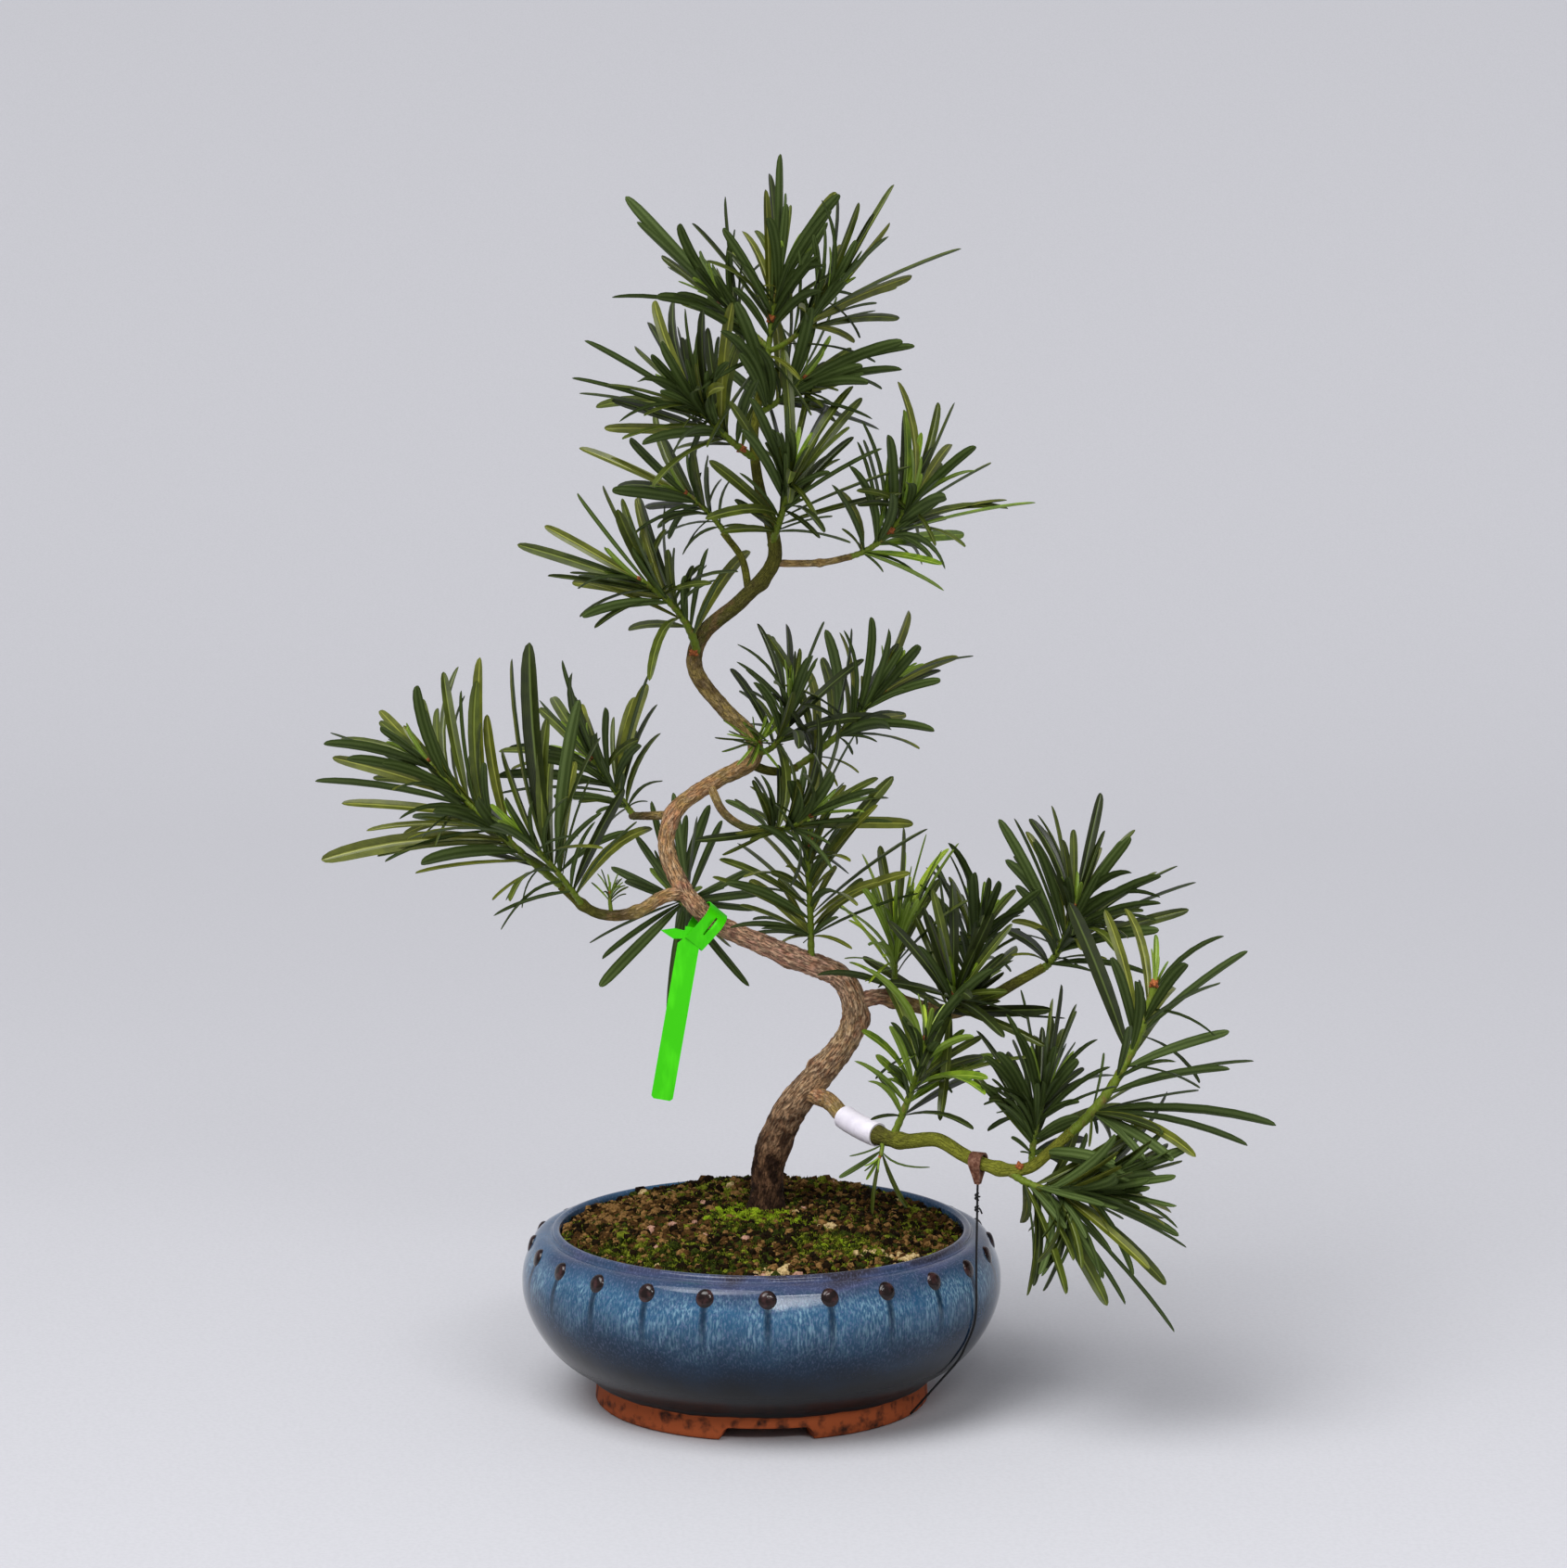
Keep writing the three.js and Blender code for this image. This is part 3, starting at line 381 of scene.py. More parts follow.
def node(
    tree: bpy.types.NodeTree,
    kind: str,
    inputs: dict | None = None,
    out: int | str = 0,
    **settings: object,
) -> Signal:
    """Adds a shader node.

    Args:
        tree: the node tree.
        kind: the node's type, without its ShaderNode prefix.
        inputs: values or signals for its inputs, by name or number.
        out: the output that counts.
        settings: the node's own properties.

    Returns:
        The signal of that output.
    """
    made = tree.nodes.new("ShaderNode" + kind)
    for key, value in settings.items():
        setattr(made, key, value)
    for key, value in (inputs or {}).items():
        if isinstance(value, Signal):
            tree.links.new(value.socket, made.inputs[key])
        else:
            made.inputs[key].default_value = value
    return Signal(tree, made.outputs[out])


@dataclass(frozen=True)
class Skin:
    """A material in the making."""

    tree: bpy.types.NodeTree

    def join(self, key: str, signal: Signal) -> None:
        """Joins a signal to the shader."""
        self.tree.links.new(signal.socket, self.tree.nodes["Principled BSDF"].inputs[key])

    def bump(self, height: Signal, depth: float, strength: float = 1.0) -> None:
        """Roughens the surface by a pattern of a depth in millimetres."""
        inputs = {"Strength": strength, "Distance": depth * MM, "Height": height}
        self.join("Normal", node(self.tree, "Bump", inputs))

    def place(self, *stretch: float) -> Signal:
        """Returns the piece's own coordinates in millimetres, and how much each direction counts."""
        return node(self.tree, "TexCoord", out="Object").scaled(*(s / MM for s in stretch))

    def grain(
        self, size: float, tall: float = 1.0, detail: float = 3.0, low: float = 0.35, high: float = 0.65
    ) -> Signal:
        """Makes a cloudy pattern over the piece.

        Args:
            size: the width of one patch in millimetres.
            tall: how much the height counts; under 1 the patches are tall.
            detail: how many finer patterns lie over it.
            low: where the pattern starts to show.
            high: where it shows in full.

        Returns:
            A number from 0 to 1.
        """
        return self.place(1, 1, tall).cloud(size, detail, low, high)

    def from_midrib(self) -> Signal:
        """Returns the distance from a leaf's midrib as a share of its width."""
        uv = node(self.tree, "UVMap", uv_map="uv")
        return abs(node(self.tree, "SeparateXYZ", {0: uv}) - 0.5)


@dataclass(frozen=True)
class Finish:
    """A surface: its name, its colour and how it takes light."""

    name: str
    colour: str
    roughness: float
    gloss: float = 0.5
    ior: float = 1.5

    def material(self) -> bpy.types.Material:
        """Makes the Blender material, once.

        Returns:
            The material.
        """
        found = bpy.data.materials.get(self.name)
        if found:
            return found
        made = bpy.data.materials.new(self.name)
        made.use_nodes = True
        made.diffuse_color = linear(self.colour)
        inputs = made.node_tree.nodes["Principled BSDF"].inputs
        inputs["Roughness"].default_value = self.roughness
        inputs["IOR"].default_value = self.ior
        inputs["Specular IOR Level"].default_value = self.gloss
        self.dress(Skin(made.node_tree))
        return made

    def dress(self, skin: Skin) -> None:
        """Paints the surface and gives it its relief."""
        raise NotImplementedError


@dataclass(frozen=True)
class LeafBlade(Finish):
    """A leathery evergreen leaf: a waxy skin that dulls its shine, and a paler midrib."""

    rib: str = "#5d7034"
    shade: str = "#1d2a14"

    def dress(self, skin: Skin) -> None:
        """Adds the midrib, the fine veins beside it, about 0.5 mm apart, and blotches.

        Args:
            skin: the material in the making.
        """
        off = skin.from_midrib()
        blotch = skin.grain(9.0, detail=4.0).blend(self.colour, self.shade)
        veined = (off * 80.0).math("SINE").ramp(0.2, 3.5).blend(blotch, self.rib)
        skin.join("Base Color", off.ramp(0.085, 0.03).blend(veined, self.rib))
        skin.bump(off.ramp(0.0, 0.16), 0.3)


@dataclass(frozen=True)
class LeafBack(Finish):
    """The underside of a leaf: matt and paler, with two bands of pores beside the midrib."""

    band: str = "#6b7a46"

    def dress(self, skin: Skin) -> None:
        """Adds the pale bands.

        Args:
            skin: the material in the making.
        """
        beside = abs(skin.from_midrib() - 0.22)
        skin.join("Base Color", beside.ramp(0.14, 0.07).blend(self.colour, self.band))
        skin.bump(skin.grain(0.8), 0.1)


@dataclass(frozen=True)
class FlakyBark(Finish):
    """Podocarpus bark: thin fibrous strips, near black at the foot, pinkish tan up the trunk, and
    olive where it is young and smooth. Pale strips on the raised plates are partly paler bark and
    partly painted highlight; dark cracks in the sunken fibres are partly dark bark and partly
    painted shade."""

    # The strip colour is partly paler bark and partly painted highlight; the crack colour is partly dark
    # bark and partly painted shade.
    strip: str = "#d9bf9c"
    crack: str = "#2c1a10"
    by_age: tuple[tuple[float, str], ...] = (
        (0.0, "#80822c"), (0.18, "#5c5a22"), (0.3, "#524e22"), (0.36, "#6b5632"), (0.44, "#9f8950"),
        (0.6, "#b6905c"), (0.7, "#c89870"), (0.84, "#e2b298"), (0.96, "#bc9a70"), (1.05, "#b28c6a"),
        (1.12, "#6e4f38"), (1.2, "#2b1a0f"),
    )

    def dress(self, skin: Skin) -> None:
        """Colours the skin by the limb's age and lays strips and cracks along it; the pale strips carry
        painted highlight and the dark cracks painted shade.

        Args:
            skin: the material in the making.
        """
        age, *place = (
            node(skin.tree, "Attribute", out="Fac", attribute_name=name)
            for name in ("age", "bx", "by", "bz")
        )
        along = node(skin.tree, "CombineXYZ", dict(enumerate(place)))
        # Each pattern's width, the share that the limb's own direction counts, and its detail.
        patches, plates, fibres = (
            along.scaled(1.0, 1.0, tall).cloud(size, detail, 0.45, 0.61)
            for size, tall, detail in ((7.0, 0.8, 3.0), (1.9, 0.42, 3.0), (1.1, 0.27, 4.0))
        )
        base = (age + (patches - 0.5) * 0.09).stops(self.by_age, 0.0, 1.25)
        rough = age.ramp(0.25, 0.7)
        # Pale strips on the raised plates: partly paler bark, partly painted highlight.
        pale = plates * (rough * age.ramp(1.15, 1.06)) * 0.5
        # Dark cracks in the sunken fibres: partly dark bark, partly painted shade.
        dark = fibres * rough * 0.68
        red = patches * (age.ramp(0.5, 0.75) * age.ramp(1.08, 0.95)) * 0.5
        skin.join("Base Color", dark.blend(pale.blend(red.blend(base, self.colour), self.strip), self.crack))
        skin.bump(plates - fibres, 0.9)


@dataclass(frozen=True)
class ShootSkin(Finish):
    """The ridged green skin of this year's shoot, with a little brown cork low on it."""

    cork: str = "#7a6236"

    def dress(self, skin: Skin) -> None:
        """Adds cork patches."""
        skin.join("Base Color", skin.grain(4.0, 0.6, 5.0, 0.56, 0.78).blend(self.colour, self.cork))
        skin.bump(skin.grain(1.0, 0.3), 0.3)


@dataclass(frozen=True)
class Mottled(Finish):
    """A surface of one stuff whose colour varies a little from place to place."""

    second: str = "#000000"
    size: float = 3.0
    depth: float = 0.4
    low: float = 0.4
    high: float = 0.65

    def dress(self, skin: Skin) -> None:
        """Adds the second colour in patches, and their relief.

        Args:
            skin: the material in the making.
        """
        patches = skin.grain(self.size, 1.0, 4.0, self.low, self.high)
        skin.join("Base Color", patches.blend(self.colour, self.second))
        skin.bump(patches, self.depth)


@dataclass(frozen=True)
class DrumGlaze(Finish):
    """Thick glossy glaze that ran down in the kiln: violet-grey at the lip, streaked blue on the
    belly, and near black towards the foot."""

    drips_and_shadows: int = 24
    first_drip_and_shadow: float = 1.4
    streak: str = "#9dc3d0"
    fleck: str = "#7f86a8"
    # Colour below the studs: partly glaze runs, partly painted shadow of the studs.
    run: str = "#0b1c2e"
    # Colours by height: near black towards the foot, blue over the belly, violet-grey at the lip.
    by_height: tuple[tuple[float, str], ...] = (
        (14, "#020304"), (34, "#050b12"), (44, "#0a1a2a"), (54, "#12293e"), (65, "#1b3850"),
        (74, "#264a66"), (83, "#2c5372"), (90, "#2c4662"), (95, "#2f3f58"), (98, "#3b4360"),
        (102, "#302d38"),
    )

    def dress(self, skin: Skin) -> None:
        """Adds the colours by height, the run streaks, and the dark marks below the studs, which are
        partly glaze runs and partly painted shadow of the studs.

        Args:
            skin: the material in the making.
        """
        here = skin.place(1, 1, 1)
        x, y, z = (node(skin.tree, "SeparateXYZ", {0: here}, out=k) for k in range(3))
        turn = x.math("ARCTAN2", y * -1.0)
        # Painted light: the blue reaches lowest, so the glaze reads lighter, a little right of the
        # front where the light falls, and darker round the sides and back.
        swing = ((turn - 0.25).math("COSINE") - 1.0) * 8.0
        height = z + (skin.grain(26.0, 1.4, 3.0, 0.3, 0.7) - 0.5) * 9.0 + swing
        base = height.stops(self.by_height, 10.0, 105.0)
        # Streaks about 1.1 mm wide and 6 mm long.
        belt = height.ramp(54.0, 80.0) * z.ramp(96.0, 86.0) * skin.grain(11.0, 0.45, 3.0, 0.3, 0.7)
        base = (skin.grain(1.1, 0.18, 4.0, 0.46, 0.66) * belt * 0.62).blend(base, self.streak)
        specks = skin.grain(1.0, 0.45, 5.0, 0.5, 0.72) * z.ramp(42.0, 70.0)
        base = (specks * 0.35).blend(base, self.fleck)
        # Dark marks below each stud: partly glaze runs, partly painted shadow of the stud.
        near = ((turn - math.radians(self.first_drip_and_shadow)) * self.drips_and_shadows).math("COSINE").ramp(0.88, 1.0)
        below = z.ramp(58.0, 80.0) * z.ramp(93.0, 88.0)
        skin.join("Base Color", (near * below * 0.85).blend(base, self.run))
        # The glaze is matt where it pooled above the foot.
        skin.join("Roughness", z.ramp(40.0, 22.0) * 0.35 + self.roughness)
        skin.bump(skin.grain(16.0, 0.5, 2.0, 0.2, 0.8), 0.25, 0.5)


@dataclass(frozen=True)
class GreenVinyl(Finish):
    """Thin moulded vinyl strap, dyed through with a fluorescent green."""

    scuff: str = "#63ff1e"

    def dress(self, skin: Skin) -> None:
        """Adds faint scuffs.

        Args:
            skin: the material in the making.
        """
        scuffs = skin.grain(6.0, 0.3, 6.0, 0.5, 0.75)
        skin.join("Base Color", (scuffs * 0.35).blend(self.colour, self.scuff))
        skin.bump(scuffs, 0.05)


# Each finish says what its stuff gives the eye.
LEAF_FINISHES = (
    # Old leaves in the crown's shade: near-black green with a dull waxy gleam, partly their own old
    # green and partly painted shade.
    LeafBlade("leaf_deep_green_and_shade", "#262e0b", 0.36, gloss=0.38, rib="#586630", shade="#161d06"),
    # Grown leaves: a warm dark green, and a paler rib that the light picks out.
    LeafBlade("leaf_dark_green", "#485314", 0.38, gloss=0.36, rib="#747f36", shade="#2f390b"),
    # Leaves in full sun: olive, partly faded and partly painted sunlight, with a straw-green rib.
    LeafBlade("leaf_olive_green_and_sunlight", "#5e641a", 0.38, gloss=0.35, rib="#90943e", shade="#434a10"),
    # This year's leaves: a fresh mid green.
    LeafBlade("leaf_young_green", "#76901e", 0.38, gloss=0.35, rib="#98b044", shade="#436012"),
    # The newest leaves: a soft yellow green that stands out of the dark crown.
    LeafBlade("leaf_lime_green", "#b0c628", 0.38, gloss=0.35, rib="#c8dc62", shade="#7f9f1c"),
    # Undersides: matt, so a turned leaf looks flat and a little greyer; the older undersides are
    # darkened below their own paler green with painted shade, and the young ones keep their own.
    LeafBack("leaf_back", "#3a4a1c", 0.6, gloss=0.2, band="#506030"),
    LeafBack("leaf_back_young", "#7c9830", 0.55, gloss=0.2, band="#93ac4c"),
)
# Bark: rough and dry, with dark cracks between pale fibrous strips and reddish new bark below;
# the cracks are partly painted shade and the strips partly painted highlight.
BARK = FlakyBark("podocarpus_bark", "#944634", 0.85, gloss=0.15)
# Green wood: smooth and faintly shiny beside the bark.
SHOOT = ShootSkin("green_shoot_skin", "#66781a", 0.5, gloss=0.3)
# Bud scales: small warm red-brown accents at the stems' tips.
BUD = Mottled("bud_scales", "#8a4a26", 0.6, 0.3, second="#b86a34", size=1.2, depth=0.3)
# Glaze: a wet gloss over blue that ran, which mirrors the lamps on the belly.
GLAZE = DrumGlaze("blue_drum_glaze", "#25587c", 0.1, gloss=0.25)
# Studs: iron under the glaze, near black with one small highlight each.
STUD_GLAZE = Mottled("iron_brown_stud_glaze", "#170d0c", 0.14, 0.35, second="#432a2a", size=4.0, depth=0.1,
                     low=0.45, high=0.75)
# Foot: bare fired clay, matt brick red with dark scorches.
FOOT_CLAY = Mottled("unglazed_stoneware_foot", "#a2502a", 0.85, 0.2, second="#3a2016", size=7.0, depth=0.25,
                    low=0.5, high=0.7)
# Soil: damp and dark, so that the crumbs and the moss stand out on it; seen mostly between the
# crumbs, its near black is partly the soil's own colour and partly painted shade in the crevices.
SOIL_BED = Mottled("damp_soil_and_crevice_shade", "#140c04", 0.95, 0.05, second="#32230f", size=2.5, depth=1.0)
# Crumbs: three browns of clay and bark, three greens of moss, and a few pale pebbles.
GRANULES = tuple(
    Mottled(name, colour, roughness, gloss, second=second, size=size)
    for name, colour, roughness, gloss, second, size in (
        ("soil_grain_dark", "#1c1207", 0.95, 0.05, "#0e0904", 1.5),
        ("soil_grain_brown", "#4f361a", 0.92, 0.05, "#2e1f0d", 1.5),
        ("soil_grain_tan", "#87653c", 0.9, 0.05, "#5c4320", 1.5),
        ("soil_moss_dark", "#1f250a", 0.95, 0.05, "#3a4410", 1.2),
        ("soil_moss_olive", "#4c5410", 0.92, 0.05, "#7c8426", 1.2),
        ("soil_moss_bright", "#647e14", 0.9, 0.05, "#96a824", 1.2),
        ("soil_pebble_cream", "#c2ab7c", 0.8, 0.2, "#93794c", 2.0),
        ("soil_pebble_pink", "#b98e7a", 0.8, 0.2, "#8f6a58", 2.0),
    )
)
# Vinyl: an even fluorescent green, the brightest thing in view.
VINYL = GreenVinyl("green_vinyl_strap", "#3ccc00", 0.45, gloss=0.2)
# Tape: a clean satin white.
TAPE = Mottled("white_grafting_tape", "#e6e1ea", 0.6, 0.3, second="#dcd6e2", size=6.0, depth=0.05)
# Pad: worn hide, brown with paler scuffs.
PAD_STRAP = Mottled("brown_leather_pad", "#5a3323", 0.62, 0.3, second="#87604c", size=2.2, depth=0.3)
# Wire: soft black iron with almost no shine.
WIRE = Mottled("black_annealed_wire", "#0a0a0b", 0.5, 0.3, second="#17171a", size=1.5, depth=0.05)
# Floor: matt and pale, so the shadows stay soft.
FLOOR = Mottled("pale_studio_floor", "#c4c4c9", 0.8, 0.2, second="#c0c0c5", size=2.5, depth=0.02)


# ---- The tree's own sizes ----


class Tint(Enum):
    """The kinds of leaf, by age and by painted light and shade, in the order of LEAF_FINISHES."""

    DEEP = "d"
    GREEN = "g"
    OLIVE = "o"
    YOUNG = "y"
    LIME = "l"


# Sections up the trunk: x, y, z of its heart and its diameter there.
TRUNK_ROWS = np.array([
    [2, 30, 100, 24], [3, 30, 113, 19], [5, 29, 135, 19.6], [17, 25, 165, 19.4],
    [35, 21, 188, 17], [51, 16, 211, 15], [54, 13, 230, 14.3], [46, 11, 247, 14],
    [25, 7, 257, 13.4], [-5, 4, 270, 11.8], [-30, 2, 283, 11], [-46, 1, 302, 10.6],
    [-55, 4, 326, 9.8], [-48, 9, 347, 9.6], [-26, 16, 362, 9.4], [-6, 20, 372, 9.2],
    [-5, 23, 386, 9], [-22, 27, 403, 9.2], [-38, 28, 425, 9.2], [-34, 26, 446, 9.2],
    [-12, 20, 466, 8.8], [6, 12, 487, 8.6], [7, 8, 505, 7.6], [-1, 3, 533, 6.2],
    [-4, 0, 560, 5.2], [-1, 0, 585, 4.4], [3, 0, 599, 4],
], float)


@dataclass(frozen=True)
class Knob:
    """A swelling on a limb: its place along it, its height and its length in millimetres."""

    at: float
    height: float
    length: float
    turn: float | None = None


@dataclass(frozen=True)
class Bough:
    """One bough: its line, its diameters at root and tip, and how old its bark looks there."""

    name: str
    girth: tuple[float, float]
    age: tuple[float, float]
    line: tuple[Point, ...]
    knobs: tuple[Knob, ...] = ()


BOUGHS = (
    Bough("bough_left", (8.4, 5.2), (0.75, 0.1), (
        (-44, 1, 299), (-57, -6, 297), (-71, -12, 290), (-85, -16, 288), (-99, -18, 292),
        (-115, -20, 306)), (Knob(0.4, 0.7, 3), Knob(0.8, 0.8, 3))),
    Bough("bough_left_back", (5.4, 4.4), (0.5, 0.3), ((-53, 7, 343), (-66, 25, 340), (-76, 38, 338))),
    Bough("bough_mid_right", (5.6, 4.6), (0.25, 0.1),
          ((-6, 20, 371), (3, 23, 367), (12, 26, 366), (21, 28, 368))),
    Bough("bough_mid_front", (5.2, 4.4), (0.5, 0.2),
          ((-30, 15, 360), (-22, 0, 346), (-10, -12, 339), (2.5, -20.5, 338))),
    Bough("bough_high_right", (4.4, 3.8), (0.6, 0.4),
          ((6, 11, 489), (22, 13, 488.5), (37, 16, 489), (52, 18, 492)), (Knob(0.6, 0.6, 2),)),
    Bough("bough_high_left", (4.6, 3.8), (0.2, 0.1), ((-7, 18, 471), (-11, 24, 490), (-22, 30, 505))),
    Bough("bough_shelf", (10.0, 5.6), (0.85, 0.05), (
        (54, 13, 232), (71, 18, 234), (86, 22, 229), (111, 26, 223), (132, 30, 230), (151, 34, 240),
        (166, 36, 248)), (Knob(0.2, 1.6, 5), Knob(0.45, 0.8, 4))),
    Bough("bough_low", (10.6, 6.0), (0.75, -0.9), (
        (26, 23, 176), (39, 8, 174), (48, -8, 168), (60, -24, 164), (71, -36, 162), (83, -46, 162),
        (100, -56, 165), (114, -66, 159), (124, -71, 155), (139, -76, 152), (152, -78, 154),
        (163, -78, 163), (175, -77, 174)), (Knob(0.335, 1.7, 7), Knob(0.43, 0.9, 4), Knob(0.76, 1.0, 4))),
)

# Scars and swellings of the trunk.
TRUNK_KNOBS = (
    Knob(0.07, 0.9, 6), Knob(0.155, 1.2, 5, 1.0), Knob(0.215, 1.6, 6, 5.0), Knob(0.31, 0.9, 5, 2.0),
    Knob(0.41, 1.0, 5, 4.0), Knob(0.5, 0.8, 5, 1.5), Knob(0.575, 1.2, 5, 3.0), Knob(0.6, 1.0, 4, 0.5),
    Knob(0.7, 0.7, 4, 3.0), Knob(0.8, 0.9, 4, 5.0),
)


